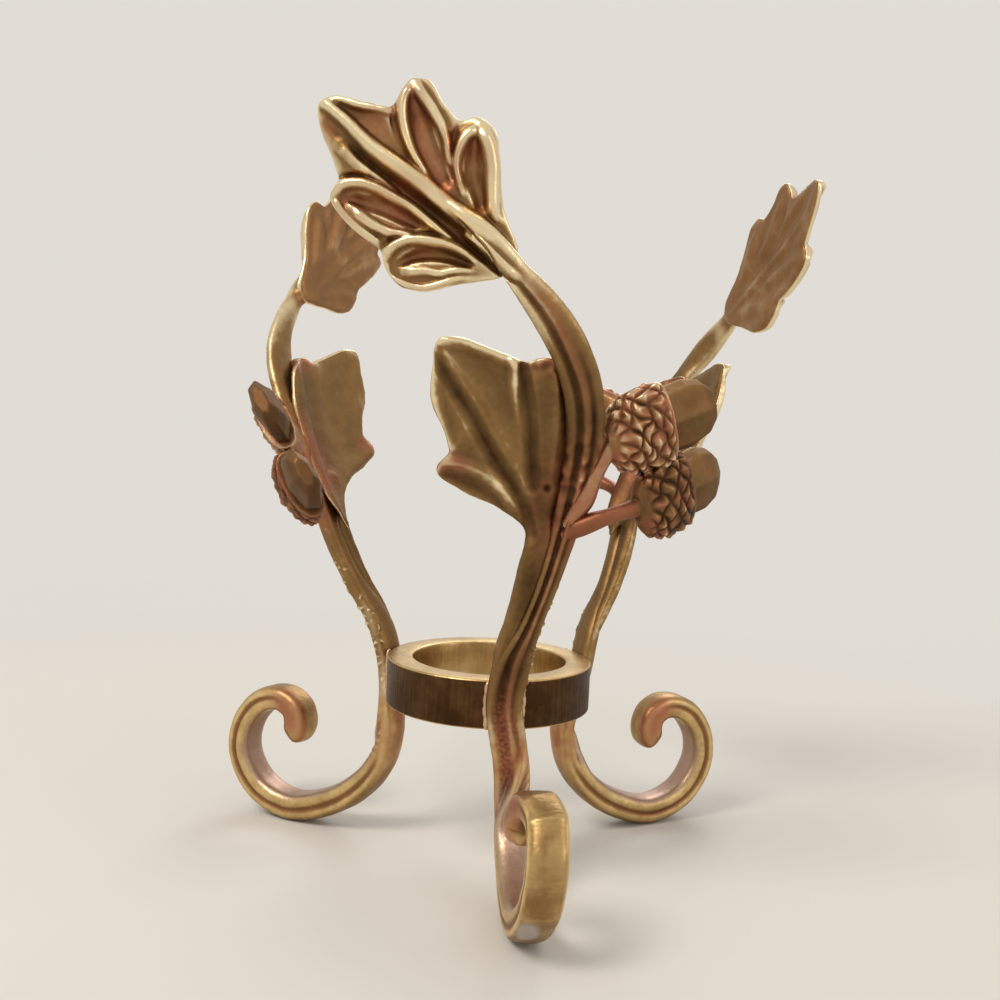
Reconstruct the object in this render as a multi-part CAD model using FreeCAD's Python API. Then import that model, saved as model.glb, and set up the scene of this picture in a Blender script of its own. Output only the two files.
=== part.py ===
import FreeCAD, Part
import math
import os

# Cast brass candle ring on three scroll legs with oak leaves and acorns.
# Lengths are millimetres and +Z is up.
# The origin is on the axis of the ring's bore, halfway up the ring's wall.
# Every arm is drawn once in its own frame, x outwards, y anticlockwise, z up,
# and is then turned about the bore's axis to its place.

Vector = FreeCAD.Vector

# Ring
ring_bore = 40.0
ring_wall = 6.5
ring_height = 12.1
ring_edge_round = 0.5

# Arms: how far they go, measured from the ring's outer wall and its mid height.
# The feet are bent by hand: the front one is tucked in under the ring, its loop is swung aside
# and the end of its curl stands a little out of the loop.
arm_angles = {"front": -90.0, "right": 22.7, "left": 149.3}
foot_reach = 46.8
foot_tucks = {"front": 9.5, "right": 0.0, "left": 0.0}
foot_swings = {"front": 6.4, "right": 0.0, "left": 0.0}
foot_pivot_share = 0.25
curl_sways = {"front": -3.0, "right": 0.0, "left": 0.0}
curl_rows = 4
leg_drop = 46.5
flare_reach = 41.8
crown_rise = 135.0
arm_sway = 40.0

# Bars of the arms
stem_width = 8.4
stem_thick = 4.4
strap_width = 9.0
strap_thick = 7.6
foot_flat_depth = 0.3

# Upper leaf
leaf_length = 50.0
leaf_thick = 2.8
leaf_dish_radius = 150.0
leaf_scoop_depth = 1.5
leaf_facing = (1.0, -0.10, -0.10)
leaf_middle_share = (0.38, 0.30)
leaf_sink_share = 0.015
midrib_facing = (0.0, 0.62, 0.78)
midrib_first_row = 4
# How much nearer to the midrib the lobes above and below it are on each arm
leaf_rib_share = (0.81, 0.59)
leaf_rib_start_share = (-0.05, 0.03)
leaf_trim_shares = {"front": (0.0, 0.0), "right": (0.20, 0.0), "left": (0.0, 0.18)}

# Lower leaf
lower_leaf_height = 44.0
lower_leaf_thick = 2.8
lower_leaf_dish_radius = 110.0
lower_scoop_depth = 1.3
lower_leaf_lean = 0.36
lower_leaf_out_share = 0.466
lower_leaf_middle_share = (-0.12, 0.50)
stalk_width = 4.6
stalk_thick = 4.0

# Acorns
acorn_reach = 30.0
cup_width = 18.6
cup_thick = 8.8
cup_length = 16.0
nut_width = 16.0
nut_thick = 7.0
nut_length = 13.0
nut_seat_depth = 1.5
acorn_stalk = 3.6
acorn_stalk_seat_share = 0.12
# The left arm's acorns are bent down and rolled, in degrees, about the way that they point
acorn_rolls = {"front": 0.0, "right": 0.0, "left": 28.0}
acorn_bends = {"front": 0.0, "right": 0.0, "left": 1.0}

# Brazed seams of the arms on the ring
braze_bulge = 1.6
braze_height_share = 0.86

ring_outer_radius = ring_bore / 2 + ring_wall
# The bottom of the foot dips under the ground by the depth of the flat that is cut there.
foot_low_share = -(leg_drop + foot_flat_depth - strap_thick / 2) / leg_drop

# Path of the foot, from the curl's end to the neck under the ring: outwards, sideways, up,
# then the width and the thickness of the strap there
foot_path_shares = [
    (0.668, 0.230, -0.500, 0.84, 0.98),
    (0.600, 0.226, -0.425, 0.94, 1.04),
    (0.615, 0.228, -0.330, 0.98, 0.98),
    (0.700, 0.234, -0.276, 1.00, 0.92),
    (0.835, 0.242, -0.298, 1.00, 0.90),
    (0.962, 0.252, -0.428, 1.00, 0.93),
    (1.000, 0.258, -0.620, 1.00, 0.96),
    (0.885, 0.248, -0.824, 1.00, 1.00),
    (0.650, 0.224, foot_low_share, 1.00, 1.00),
    (0.395, 0.198, -0.860, 1.00, 1.00),
    (0.175, 0.178, -0.722, 0.98, 0.94),
    (0.032, 0.166, -0.540, 0.96, 0.84),
    (-0.015, 0.156, -0.350, 0.98, 0.74),
]
# Path of the stem, from the neck to the fork: outwards, sideways, up,
# then the width and the thickness of the stem there
stem_path_shares = [
    (0.014, 0.122, -0.058, 1.06, 1.16),
    (0.052, 0.090, 0.000, 1.06, 1.12),
    (0.124, 0.125, 0.085, 1.04, 1.04),
    (0.294, 0.218, 0.174, 0.66, 1.00),
    (0.409, 0.305, 0.263, 0.66, 0.98),
    (0.471, 0.368, 0.344, 0.76, 0.96),
    (0.557, 0.415, 0.426, 0.92, 0.96),
]
# The same from the fork to the leaf's tip, where it runs on as the midrib
upper_path_shares = [
    (0.557, 0.415, 0.426, 0.92, 0.96),
    (0.672, 0.428, 0.500, 1.00, 0.95),
    (0.782, 0.398, 0.559, 1.00, 0.92),
    (0.890, 0.308, 0.622, 0.98, 0.90),
    (0.966, 0.175, 0.677, 0.95, 0.90),
    (1.008, 0.012, 0.729, 0.86, 0.92),
    (1.022, -0.120, 0.776, 0.72, 0.94),
    (1.018, -0.345, 0.828, 0.56, 0.86),
    (1.010, -0.565, 0.872, 0.46, 0.74),
    (0.990, -0.785, 0.916, 0.38, 0.62),
    (0.960, -0.955, 0.957, 0.30, 0.50),
]
# Stalk of the lower leaf, beside the stem, up to the leaf's root
stalk_path_shares = [
    (0.176, 0.056, 0.108, 0.66, 0.80),
    (0.290, 0.114, 0.174, 0.90, 1.00),
    (0.409, 0.186, 0.263, 1.26, 1.00),
    (0.470, 0.224, 0.330, 1.46, 0.90),
    (0.520, 0.190, 0.385, 1.20, 0.70),
]

# Outline of the upper leaf: clockwise and up from the leaf's root, one row for each lobe
upper_leaf_root_share = (-0.02, 0.733)
upper_lobes_shares = [
    [(-0.04, 0.08), (0.02, -0.03), (0.10, -0.05), (0.21, -0.07), (0.34, -0.10), (0.44, -0.08),
     (0.50, -0.01), (0.52, 0.06)],
    [(0.52, 0.06), (0.60, 0.11), (0.68, 0.18), (0.73, 0.26), (0.69, 0.32)],
    [(0.69, 0.32), (0.73, 0.42), (0.78, 0.54), (0.785, 0.62), (0.74, 0.645), (0.62, 0.63), (0.49, 0.60)],
    [(0.49, 0.60), (0.465, 0.65), (0.41, 0.72), (0.35, 0.715), (0.29, 0.63), (0.22, 0.555)],
    [(0.22, 0.555), (0.15, 0.58), (0.085, 0.54), (0.055, 0.42), (0.035, 0.25), (-0.04, 0.08)],
]
# Scoops of the upper leaf's lobes: both ends, then the half width
upper_scoops_shares = [
    ((0.17, -0.01), (0.46, 0.00), 0.050),
    ((0.28, 0.17), (0.68, 0.24), 0.056),
    ((0.36, 0.39), (0.70, 0.58), 0.070),
    ((0.17, 0.25), (0.40, 0.66), 0.050),
    ((0.06, 0.16), (0.145, 0.52), 0.042),
]

# Outline of the lower leaf: sideways and up, in shares of its height from its root
lower_leaf_root_share = (0.215, 0.310)
lower_lobes_shares = [
    [(0.03, -0.12), (-0.05, 0.04), (-0.20, 0.17), (-0.39, 0.25), (-0.52, 0.36), (-0.50, 0.40), (-0.455, 0.44)],
    [(-0.455, 0.44), (-0.49, 0.55), (-0.555, 0.69), (-0.555, 0.85), (-0.525, 0.99), (-0.46, 1.00),
     (-0.28, 0.95), (-0.10, 0.89)],
    [(-0.10, 0.89), (-0.03, 0.92), (0.06, 0.91), (0.16, 0.85), (0.22, 0.70), (0.22, 0.40),
     (0.16, 0.06), (0.03, -0.12)],
]
lower_scoops_shares = [
    ((-0.04, 0.18), (-0.42, 0.37), 0.055),
    ((0.02, 0.22), (-0.46, 0.93), 0.085),
    ((0.10, 0.34), (0.04, 0.86), 0.080),
]

# Acorns: the stalk's foot and the rim's centre from the fork, in shares of the reach,
# which way the acorn points, and where a bend takes the rim
acorn_places = {
    "upper": {
        "stalk_foot_shares": (0.00, 0.06, -0.28),
        "rim_shares": (-0.17, 0.64, 0.42),
        "aim": (-0.39, 0.86, 0.33),
        "bend_shares": (0.00, 0.00, -0.13),
    },
    "lower": {
        "stalk_foot_shares": (0.00, 0.00, -0.36),
        "rim_shares": (-0.45, 0.83, -0.08),
        "aim": (-0.64, 0.70, 0.28),
        "bend_shares": (-0.13, -0.06, -0.15),
    },
}
# Along the cup from its foot to its rim, and along the nut from its seat to its end:
# the place, then the share of the full size there
cup_swell_shares = [(0.00, 0.36), (0.08, 0.62), (0.28, 0.87), (0.60, 1.00), (1.00, 0.97)]
nut_swell_shares = [(0.00, 0.94), (0.35, 1.00), (0.75, 0.86), (1.00, 0.46)]
stalk_swell_shares = [(0.00, 1.50), (0.50, 0.95), (1.00, 1.10)]

section_points = 12
stations_per_span = 2
stem_squareness = 2.2
strap_squareness = 2.8
nut_sides = 8
tip_round_shares = (0.0, 0.55, 0.85, 0.97)
tip_least_share = 0.18
tip_clear_share = 1.2


def foot_point(row, tuck, swing, sway):
    # The tuck grows from the neck down to the ground, the swing outwards and up from the ground.
    out, side, up = row[0:3]
    neck_up = foot_path_shares[-1][2]
    inwards = tuck * (neck_up - up) / (neck_up + 1)
    sideways = swing * max(out - foot_pivot_share, 0) * (1 + up)
    sideways += sway * max(1 - foot_path_shares.index(row) / curl_rows, 0)
    return Vector(ring_outer_radius + out * foot_reach - inwards, side * arm_sway + sideways, up * leg_drop)


def stem_point(row):
    out, side, up = row[0:3]
    return Vector(ring_outer_radius + out * flare_reach, side * arm_sway, up * crown_rise)


def across(direction, hint):
    side = hint - direction * hint.dot(direction)
    side.normalize()
    return side


def bar_section(centre, direction, side_hint, width, thick, squareness=stem_squareness):
    side = across(direction, side_hint)
    face = direction.cross(side)
    points = []
    for step in range(section_points):
        turn = 2 * math.pi * step / section_points
        c = math.cos(turn)
        s = math.sin(turn)
        c = math.copysign(abs(c) ** (2 / squareness), c)
        s = math.copysign(abs(s) ** (2 / squareness), s)
        points.append(centre + side * (c * width / 2) + face * (s * thick / 2))
    curve = Part.BSplineCurve()
    curve.interpolate(Points=points, PeriodicFlag=True)
    return Part.Wire(curve.toShape())


def chord_places(points):
    places = [0.0]
    for start, end in zip(points, points[1:]):
        places.append(places[-1] + (end - start).Length)
    return places


def between(places, values, place):
    for index in range(len(places) - 1):
        if place <= places[index + 1]:
            share = (place - places[index]) / (places[index + 1] - places[index])
            return values[index] + share * (values[index + 1] - values[index])
    return values[-1]


def bar_along(points, widths, thicks, side_hints, round_start=False, round_end=False,
              first_direction=None, last_direction=None, squareness=stem_squareness):
    # A bar lofted through sections that stand square on a smooth path.
    curve = Part.BSplineCurve()
    places = chord_places(points)
    curve.interpolate(Points=points, Parameters=places)
    sections = []
    rows = [(places[0], 1.0)]
    for start, end in zip(places, places[1:]):
        for step in range(1, stations_per_span + 1):
            rows.append((start + (end - start) * step / stations_per_span, 1.0))
    if round_start:
        rows = rounded_end(rows, thicks[0] / 2)
    if round_end:
        flipped = [(places[-1] - place, size) for place, size in reversed(rows)]
        flipped = rounded_end(flipped, thicks[-1] / 2)
        rows = [(places[-1] - place, size) for place, size in reversed(flipped)]
    for place, size in rows:
        centre = curve.value(place)
        direction = Vector(*curve.tangent(place)[0])
        if place == places[0] and first_direction is not None:
            direction = first_direction
        if place == places[-1] and last_direction is not None:
            direction = last_direction
        hint = Vector(between(places, [v.x for v in side_hints], place),
                      between(places, [v.y for v in side_hints], place),
                      between(places, [v.z for v in side_hints], place))
        width = between(places, widths, place) * size
        thick = between(places, thicks, place) * size
        sections.append(bar_section(centre, direction, hint, width, thick, squareness))
    return Part.makeLoft(sections, True, False)


def rounded_end(rows, depth):
    # Swaps the first station for a few that close the bar in a round nose.
    kept = [(place, size) for place, size in rows if place > depth * tip_clear_share]
    nose = []
    for share in tip_round_shares:
        place = depth * (1 - math.sqrt(1 - share * share))
        nose.append((place, max(share, tip_least_share)))
    return nose + kept


def make_ring():
    outer = Part.makeCylinder(ring_outer_radius, ring_height, Vector(0, 0, -ring_height / 2))
    bore = Part.makeCylinder(ring_bore / 2, ring_height, Vector(0, 0, -ring_height / 2))
    ring = outer.cut(bore)
    rims = [edge for edge in ring.Edges if edge.Closed and abs(edge.BoundBox.ZLength) < ring_edge_round]
    return ring.makeFillet(ring_edge_round, rims)


def joint_direction(below, above):
    direction = above - below
    direction.normalize()
    return direction


def fork_direction():
    return joint_direction(stem_point(stem_path_shares[-2]), stem_point(upper_path_shares[1]))


def neck_direction():
    below = foot_point(foot_path_shares[-1], 0, 0, 0)
    return joint_direction(below, stem_point(stem_path_shares[1]))


def make_foot(tuck, swing, sway):
    rows = foot_path_shares
    neck = stem_path_shares[0]
    points = [foot_point(row, tuck, swing, sway) for row in rows] + [stem_point(neck)]
    widths = [row[3] * strap_width for row in rows] + [neck[3] * stem_width]
    thicks = [row[4] * strap_thick for row in rows] + [neck[4] * stem_thick]
    foot = bar_along(points, widths, thicks, [Vector(0, 1, 0)] * len(points), round_start=True,
                     last_direction=neck_direction(), squareness=strap_squareness)
    span = ring_outer_radius + 2 * foot_reach
    under = Part.makeBox(2 * span, 2 * span, leg_drop, Vector(-span, -span, -2 * leg_drop))
    return foot.cut(under)


def make_stem():
    rows = stem_path_shares
    points = [stem_point(row) for row in rows]
    widths = [row[3] * stem_width for row in rows]
    thicks = [row[4] * stem_thick for row in rows]
    return bar_along(points, widths, thicks, [Vector(0, 1, 0)] * len(rows),
                     first_direction=neck_direction(), last_direction=fork_direction())


def make_upper_stem():
    rows = upper_path_shares
    points = [stem_point(row) for row in rows]
    widths = [row[3] * stem_width for row in rows]
    thicks = [row[4] * stem_thick for row in rows]
    hints = [Vector(0, 1, 0)] * midrib_first_row
    hints += [Vector(*midrib_facing)] * (len(rows) - midrib_first_row)
    return bar_along(points, widths, thicks, hints, round_end=True, first_direction=fork_direction())


def outline_face(lobes, place, out):
    edges = []
    for lobe in lobes:
        points = [place(share, out) for share in lobe]
        curve = Part.BSplineCurve()
        curve.interpolate(Points=points)
        edges.append(curve.toShape())
    return Part.Face(Part.Wire(edges))


def scoop(start, end, half_width, depth, outward, dish_radius):
    # A spindle laid along the lobe, sunk into the dished face to the scoop's depth.
    length = (end - start).Length
    crown = length * length / (8 * dish_radius)
    arc = Part.Arc(Vector(0, 0, 0), Vector(length / 2, half_width, 0), Vector(length, 0, 0)).toShape()
    chord = Part.makeLine(Vector(length, 0, 0), Vector(0, 0, 0))
    spindle = Part.Face(Part.Wire([arc, chord])).revolve(Vector(0, 0, 0), Vector(1, 0, 0), 360)
    along = end - start
    along.normalize()
    turn = FreeCAD.Rotation(Vector(1, 0, 0), along)
    raised = start + outward * (half_width - depth + crown)
    spindle.Placement = FreeCAD.Placement(raised, turn)
    return spindle


def dished_blade(lobes, place, outward, centre, dish_radius, thick):
    # A leaf blade: the outline pushed through a thin dished shell.
    hub = centre - outward * dish_radius
    shell = Part.makeSphere(dish_radius + thick / 2, hub).cut(Part.makeSphere(dish_radius - thick / 2, hub))
    depth = leaf_length
    face = outline_face(lobes, place, -depth / 2)
    return face.extrude(Vector(depth, 0, 0)).common(shell)


def upper_place(share, out):
    root_side, root_up = upper_leaf_root_share
    x = ring_outer_radius + flare_reach + out
    y = root_side * arm_sway - share[0] * leaf_length
    z = root_up * crown_rise + share[1] * leaf_length
    return Vector(x, y, z)


def trimmed(share, trims):
    # The place drawn towards the midrib by one share above it and by another below it.
    along = math.hypot(*leaf_rib_share)
    side = -leaf_rib_share[1] / along
    up = leaf_rib_share[0] / along
    apart = (share[0] - leaf_rib_start_share[0]) * side + (share[1] - leaf_rib_start_share[1]) * up
    pull = apart * (trims[0] if apart > 0 else trims[1])
    return share[0] - pull * side, share[1] - pull * up


def make_upper_leaf(trims):
    outward = Vector(*leaf_facing)
    outward.normalize()
    middle = upper_place(leaf_middle_share, 0)
    middle.x -= leaf_sink_share * leaf_length
    lobes = [[trimmed(share, trims) for share in lobe] for lobe in upper_lobes_shares]
    blade = dished_blade(lobes, upper_place, outward, middle, leaf_dish_radius, leaf_thick)
    hub = middle - outward * leaf_dish_radius
    for start, end, half in upper_scoops_shares:
        ends = []
        for share in (start, end):
            spot = upper_place(trimmed(share, trims), 0)
            ray = spot - hub
            ray.normalize()
            ends.append(hub + ray * (leaf_dish_radius + leaf_thick / 2))
        blade = blade.cut(scoop(ends[0], ends[1], half * leaf_length, leaf_scoop_depth, outward,
                                leaf_dish_radius))
    return make_upper_stem().fuse(blade)


def lower_place(share, out):
    root_side, root_up = lower_leaf_root_share
    x = ring_outer_radius + flare_reach + out
    y = root_side * arm_sway + share[0] * lower_leaf_height
    z = root_up * crown_rise + share[1] * lower_leaf_height
    return Vector(x, y, z)


def lower_leaf_spot(share):
    # The place on the leaf's leaning plane, which starts from the stem.
    spot = lower_place(share, 0)
    root = stem_point((lower_leaf_out_share, 0, 0))
    spot.x = root.x + lower_leaf_lean * share[1] * lower_leaf_height
    return spot


def make_lower_leaf():
    outward = Vector(1, 0, -lower_leaf_lean)
    outward.normalize()
    middle = lower_leaf_spot(lower_leaf_middle_share)
    blade = dished_blade(lower_lobes_shares, lower_place, outward, middle, lower_leaf_dish_radius,
                         lower_leaf_thick)
    hub = middle - outward * lower_leaf_dish_radius
    for start, end, half in lower_scoops_shares:
        ends = []
        for share in (start, end):
            ray = lower_leaf_spot(share) - hub
            ray.normalize()
            ends.append(hub + ray * (lower_leaf_dish_radius + lower_leaf_thick / 2))
        blade = blade.cut(scoop(ends[0], ends[1], half * lower_leaf_height, lower_scoop_depth, outward,
                                lower_leaf_dish_radius))
    points = [stem_point(row) for row in stalk_path_shares]
    widths = [row[3] * stalk_width for row in stalk_path_shares]
    thicks = [row[4] * stalk_thick for row in stalk_path_shares]
    stalk = bar_along(points, widths, thicks, [Vector(0, 1, 0)] * len(points), round_start=True,
                      round_end=True)
    return stalk.fuse(blade)


def acorn_frame(place, bend, roll):
    fork = stem_point(stem_path_shares[-1])
    foot = fork + Vector(*place["stalk_foot_shares"]) * acorn_reach
    rim = fork + (Vector(*place["rim_shares"]) + Vector(*place["bend_shares"]) * bend) * acorn_reach
    aim = Vector(*place["aim"])
    aim.normalize()
    radial = Vector(rim.x, rim.y, 0)
    level = across(aim, radial)
    upright = level.cross(aim)
    turn = math.radians(roll)
    outward = level * math.cos(turn) - upright * math.sin(turn)
    upward = upright * math.cos(turn) + level * math.sin(turn)
    return foot, rim, aim, outward, upward


def make_cup(place, bend, roll):
    foot, rim, aim, outward, upward = acorn_frame(place, bend, roll)
    base = rim - aim * cup_length
    sections = []
    for along, size in cup_swell_shares:
        centre = base + aim * (along * cup_length)
        sections.append(bar_section(centre, aim, upward, size * cup_width, size * cup_thick))
    cup = Part.makeLoft(sections, True, False)
    points = [foot, (foot + base) * 0.5, base + aim * (acorn_stalk_seat_share * cup_length)]
    stalk = bar_along(points, [size * acorn_stalk for _, size in stalk_swell_shares],
                      [size * acorn_stalk for _, size in stalk_swell_shares],
                      [Vector(0, 0, 1)] * 3)
    return cup.fuse(stalk)


def make_nut(place, bend, roll):
    foot, rim, aim, outward, upward = acorn_frame(place, bend, roll)
    seat = rim - aim * nut_seat_depth
    length = nut_length + nut_seat_depth
    sections = []
    for along, size in nut_swell_shares:
        centre = seat + aim * (along * length)
        points = []
        for step in range(nut_sides):
            turn = 2 * math.pi * (step + 0.5) / nut_sides
            points.append(centre + upward * (math.cos(turn) * size * nut_width / 2)
                          + outward * (math.sin(turn) * size * nut_thick / 2))
        sections.append(Part.makePolygon(points + points[0:1]))
    return Part.makeLoft(sections, True, True)


def make_braze():
    # A low bulge of solder at the seat of the leg, which the ring and the leg then cut.
    bulge = Part.makeSphere(ring_height / 2)
    squeeze = FreeCAD.Matrix()
    squeeze.scale(2 * braze_bulge / ring_height, (stem_width + 2 * braze_bulge) / ring_height, braze_height_share)
    bulge = bulge.transformGeometry(squeeze)
    bulge.translate(Vector(ring_outer_radius, stem_path_shares[1][1] * arm_sway, 0))
    return bulge


def main_solid(shape):
    return max(shape.Solids, key=lambda solid: solid.Volume)


def make_arm(arm, ring, stem, lower_leaf):
    # The pieces of one arm, each cut to seat on those before it.
    pieces = {"stem": stem}
    pieces["upper_leaf"] = main_solid(make_upper_leaf(leaf_trim_shares[arm]))
    pieces["lower_leaf"] = main_solid(lower_leaf.cut(pieces["upper_leaf"]))
    for name, place in acorn_places.items():
        nut = make_nut(place, acorn_bends[arm], acorn_rolls[arm])
        cup = make_cup(place, acorn_bends[arm], acorn_rolls[arm]).cut(nut)
        for held in list(pieces.values()):
            if cup.BoundBox.intersect(held.BoundBox):
                cup = cup.cut(held)
        pieces["acorn_" + name + "_cup"] = main_solid(cup)
        pieces["acorn_" + name + "_nut"] = main_solid(nut)
    braze = make_braze().cut(ring).cut(pieces["stem"])
    pieces["ring_braze"] = Part.makeCompound(braze.Solids)
    foot = make_foot(foot_tucks[arm], foot_swings[arm], curl_sways[arm])
    pieces["scroll_foot"] = main_solid(foot.cut(ring).cut(pieces["ring_braze"]))
    return pieces


def export(name, shape, angle):
    placed = shape.copy()
    placed.rotate(Vector(0, 0, 0), Vector(0, 0, 1), angle)
    placed.exportStep("parts/" + name + ".step")
    print(name, round(placed.Volume, 1), len(placed.Solids), placed.isValid())


def main():
    os.makedirs("parts", exist_ok=True)
    ring = make_ring()
    export("ring", ring, 0)
    stem = main_solid(make_stem().cut(ring))
    lower_leaf = make_lower_leaf().cut(stem)
    for arm, angle in arm_angles.items():
        for name, shape in make_arm(arm, ring, stem, lower_leaf).items():
            export(arm + "_" + name, shape, angle)


main()
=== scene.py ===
"""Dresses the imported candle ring: three cast brass arms with leaves and acorns round an open ring.

Pieces are drawn in millimetres in the frame of one arm, x outwards from the bore, y anticlockwise
and z up from the ring's middle. They are then turned to their arm and brought to metres.
"""

import math

import bmesh
import bpy
import numpy as np
from mathutils import Matrix, Vector, noise


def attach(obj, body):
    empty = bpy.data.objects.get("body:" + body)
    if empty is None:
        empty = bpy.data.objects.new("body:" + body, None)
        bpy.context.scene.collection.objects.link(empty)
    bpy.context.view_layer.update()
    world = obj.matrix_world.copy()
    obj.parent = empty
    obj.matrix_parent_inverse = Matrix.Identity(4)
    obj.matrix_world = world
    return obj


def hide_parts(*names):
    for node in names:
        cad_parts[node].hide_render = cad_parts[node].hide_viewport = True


bl_info = {
    "name": "Candle ring with leaf and acorn arms",
    "version": (1, 0, 0),
    "blender": (4, 5, 0),
    "location": "3D View > Sidebar > Candle Ring",
    "description": "Makes the cast pieces, their brass finishes and the stage of a tripod candle ring",
    "category": "Object",
}

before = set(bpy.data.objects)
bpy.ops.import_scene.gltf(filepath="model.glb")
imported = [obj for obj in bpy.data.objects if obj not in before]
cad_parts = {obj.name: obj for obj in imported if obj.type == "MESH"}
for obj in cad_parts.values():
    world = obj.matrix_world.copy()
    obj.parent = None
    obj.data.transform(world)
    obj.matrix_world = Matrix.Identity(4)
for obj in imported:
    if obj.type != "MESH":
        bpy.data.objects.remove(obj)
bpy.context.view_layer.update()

MM = 0.001
ARM_ANGLES = {"front": -90.0, "right": 22.7, "left": 149.3}

# How hand bending and wear made the arms differ, how dark each arm's nuts are, and how much painted light
# and shade its nuts, stem and lower leaf get: lengths in millimetres, turns in degrees and the rest in
# shares
FOOT_TUCKS = {"front": 9.5, "right": 0.0, "left": 0.0}
FOOT_SWINGS = {"front": 6.4, "right": 0.0, "left": 0.0}
FOOT_PIVOT_SHARE = 0.25
CURL_SWAYS = {"front": -3.0, "right": 0.0, "left": 0.0}
CURL_ROWS = 4
LEAF_TRIMS = {"front": (0.0, 0.0), "right": (0.20, 0.0), "left": (0.0, 0.18)}
ACORN_ROLLS = {"front": 0.0, "right": 0.0, "left": 28.0}
ACORN_BENDS = {"front": 0.0, "right": 0.0, "left": 1.0}
NUT_DARKNESS = {"front": 0.25, "right": 0.25, "left": 0.45}
# Painted light and shade on the nuts' facets: lighter where they face up, darker where they face down
NUT_SHADES = {"front": 1.0, "right": 0.3, "left": 0.3}
# Painted shade, with some aging, that darkens each arm's stem and lower leaf
ARM_SHADE_AND_AGE = {"front": 1.0, "right": 0.8, "left": 0.5}

# Sizes that the arms share with the solids, in millimetres
RING_OUTER = 26.5
FOOT_REACH = 46.8
LEG_DROP = 46.5
FLARE_REACH = 41.8
CROWN_RISE = 135.0
ARM_SWAY = 40.0
STEM_WIDTH = 8.4
STEM_THICK = 4.4
STRAP_WIDTH = 9.0
STRAP_THICK = 7.6
LEAF_LENGTH = 50.0
LOWER_LEAF_HEIGHT = 44.0
STALK_WIDTH = 4.6
STALK_THICK = 4.0
ACORN_REACH = 30.0
CUP_WIDTH = 18.6
CUP_THICK = 8.8
CUP_LENGTH = 16.0
NUT_WIDTH = 16.0
NUT_THICK = 7.0
NUT_LENGTH = 13.0
NUT_SEAT = 1.5
ACORN_STALK = 3.6
BLADE_THICK = 2.2
LEAF_DISH_RADIUS = 150.0
LOWER_DISH_RADIUS = 110.0
LOWER_LEAN = 0.36

# Voxels of the skins in millimetres, and how finely lines and bars are drawn
BLADE_VOXEL = 0.7
BAR_VOXEL = 0.34
LOWER_VOXEL = 0.33
BRAZE_VOXEL = 0.3
ACORN_VOXEL = 0.26
OUTLINE_STEPS = 6
STALK_STEPS = 8
ROW_STEPS = 10
LINE_STEPS = 14
BAR_SIDES = 44
BATCH = 4000

# Foot, from the curl's end to the neck: outwards, sideways, up, width, thickness
FOOT_PATH = [
    (0.668, 0.230, -0.500, 0.86, 0.98),
    (0.600, 0.226, -0.425, 0.94, 1.04),
    (0.615, 0.228, -0.330, 0.98, 0.98),
    (0.700, 0.234, -0.276, 1.00, 0.92),
    (0.835, 0.242, -0.298, 1.00, 0.90),
    (0.962, 0.252, -0.428, 1.00, 0.93),
    (1.000, 0.258, -0.620, 1.00, 0.96),
    (0.885, 0.248, -0.824, 1.00, 1.00),
    (0.650, 0.224, -0.918, 1.00, 1.00),
    (0.395, 0.198, -0.860, 1.00, 1.00),
    (0.175, 0.178, -0.722, 0.98, 0.94),
    (0.032, 0.166, -0.540, 0.96, 0.84),
    (-0.015, 0.156, -0.350, 0.98, 0.74),
]
# Stem, from the neck to the fork
STEM_PATH = [
    (0.014, 0.122, -0.058, 1.06, 1.16),
    (0.052, 0.090, 0.000, 1.06, 1.12),
    (0.124, 0.125, 0.085, 1.04, 1.04),
    (0.294, 0.218, 0.174, 0.66, 1.00),
    (0.409, 0.305, 0.263, 0.66, 0.98),
    (0.471, 0.368, 0.344, 0.76, 0.96),
    (0.557, 0.415, 0.426, 0.92, 0.96),
]
# From the fork into the leaf's blade, where the stem runs on as the midrib
UPPER_PATH = [
    (0.557, 0.415, 0.426, 0.92, 0.96),
    (0.672, 0.428, 0.500, 1.00, 0.95),
    (0.782, 0.398, 0.559, 1.00, 0.92),
    (0.890, 0.308, 0.622, 0.98, 0.90),
    (0.966, 0.175, 0.677, 0.90, 0.92),
    (1.008, 0.012, 0.729, 0.66, 0.96),
    (1.022, -0.120, 0.776, 0.50, 1.00),
    (0.982, -0.345, 0.830, 0.40, 0.55),
]
STALK_PATH = [
    (0.030, 0.020, 0.020, 0.45, 0.50),
    (0.160, 0.048, 0.108, 0.66, 0.80),
    (0.290, 0.114, 0.174, 0.90, 1.00),
    (0.409, 0.186, 0.263, 1.26, 1.00),
    (0.470, 0.224, 0.330, 1.40, 0.80),
    (0.500, 0.195, 0.385, 0.90, 0.40),
]
NECK_ROW = len(FOOT_PATH)
FORK_ROW = NECK_ROW + len(STEM_PATH) - 1
CUT_REACH = 0.8  # rows on both sides of a cut that the cutting plane may touch
# Which way a bar's width lies, on the stem and inside the leaf
STEM_SIDE = (0, 1, 0)
LEAF_SIDE = (0, 0.62, 0.78)
STALK_SIDE = (0, 0, 1)

# Marks on the front foot's outer face: hammer blows, and a spot of bare metal that also carries a painted
# glint, given by row and across
BLOWS_PER_ROW = 0.95
BLOW_DEPTH = 0.42
SEAM_DEPTH = 0.50
WORN_GLINT_SPOT = (6.70, -0.42)
WORN_GLINT_REACH = (0.40, 0.66)

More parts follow.
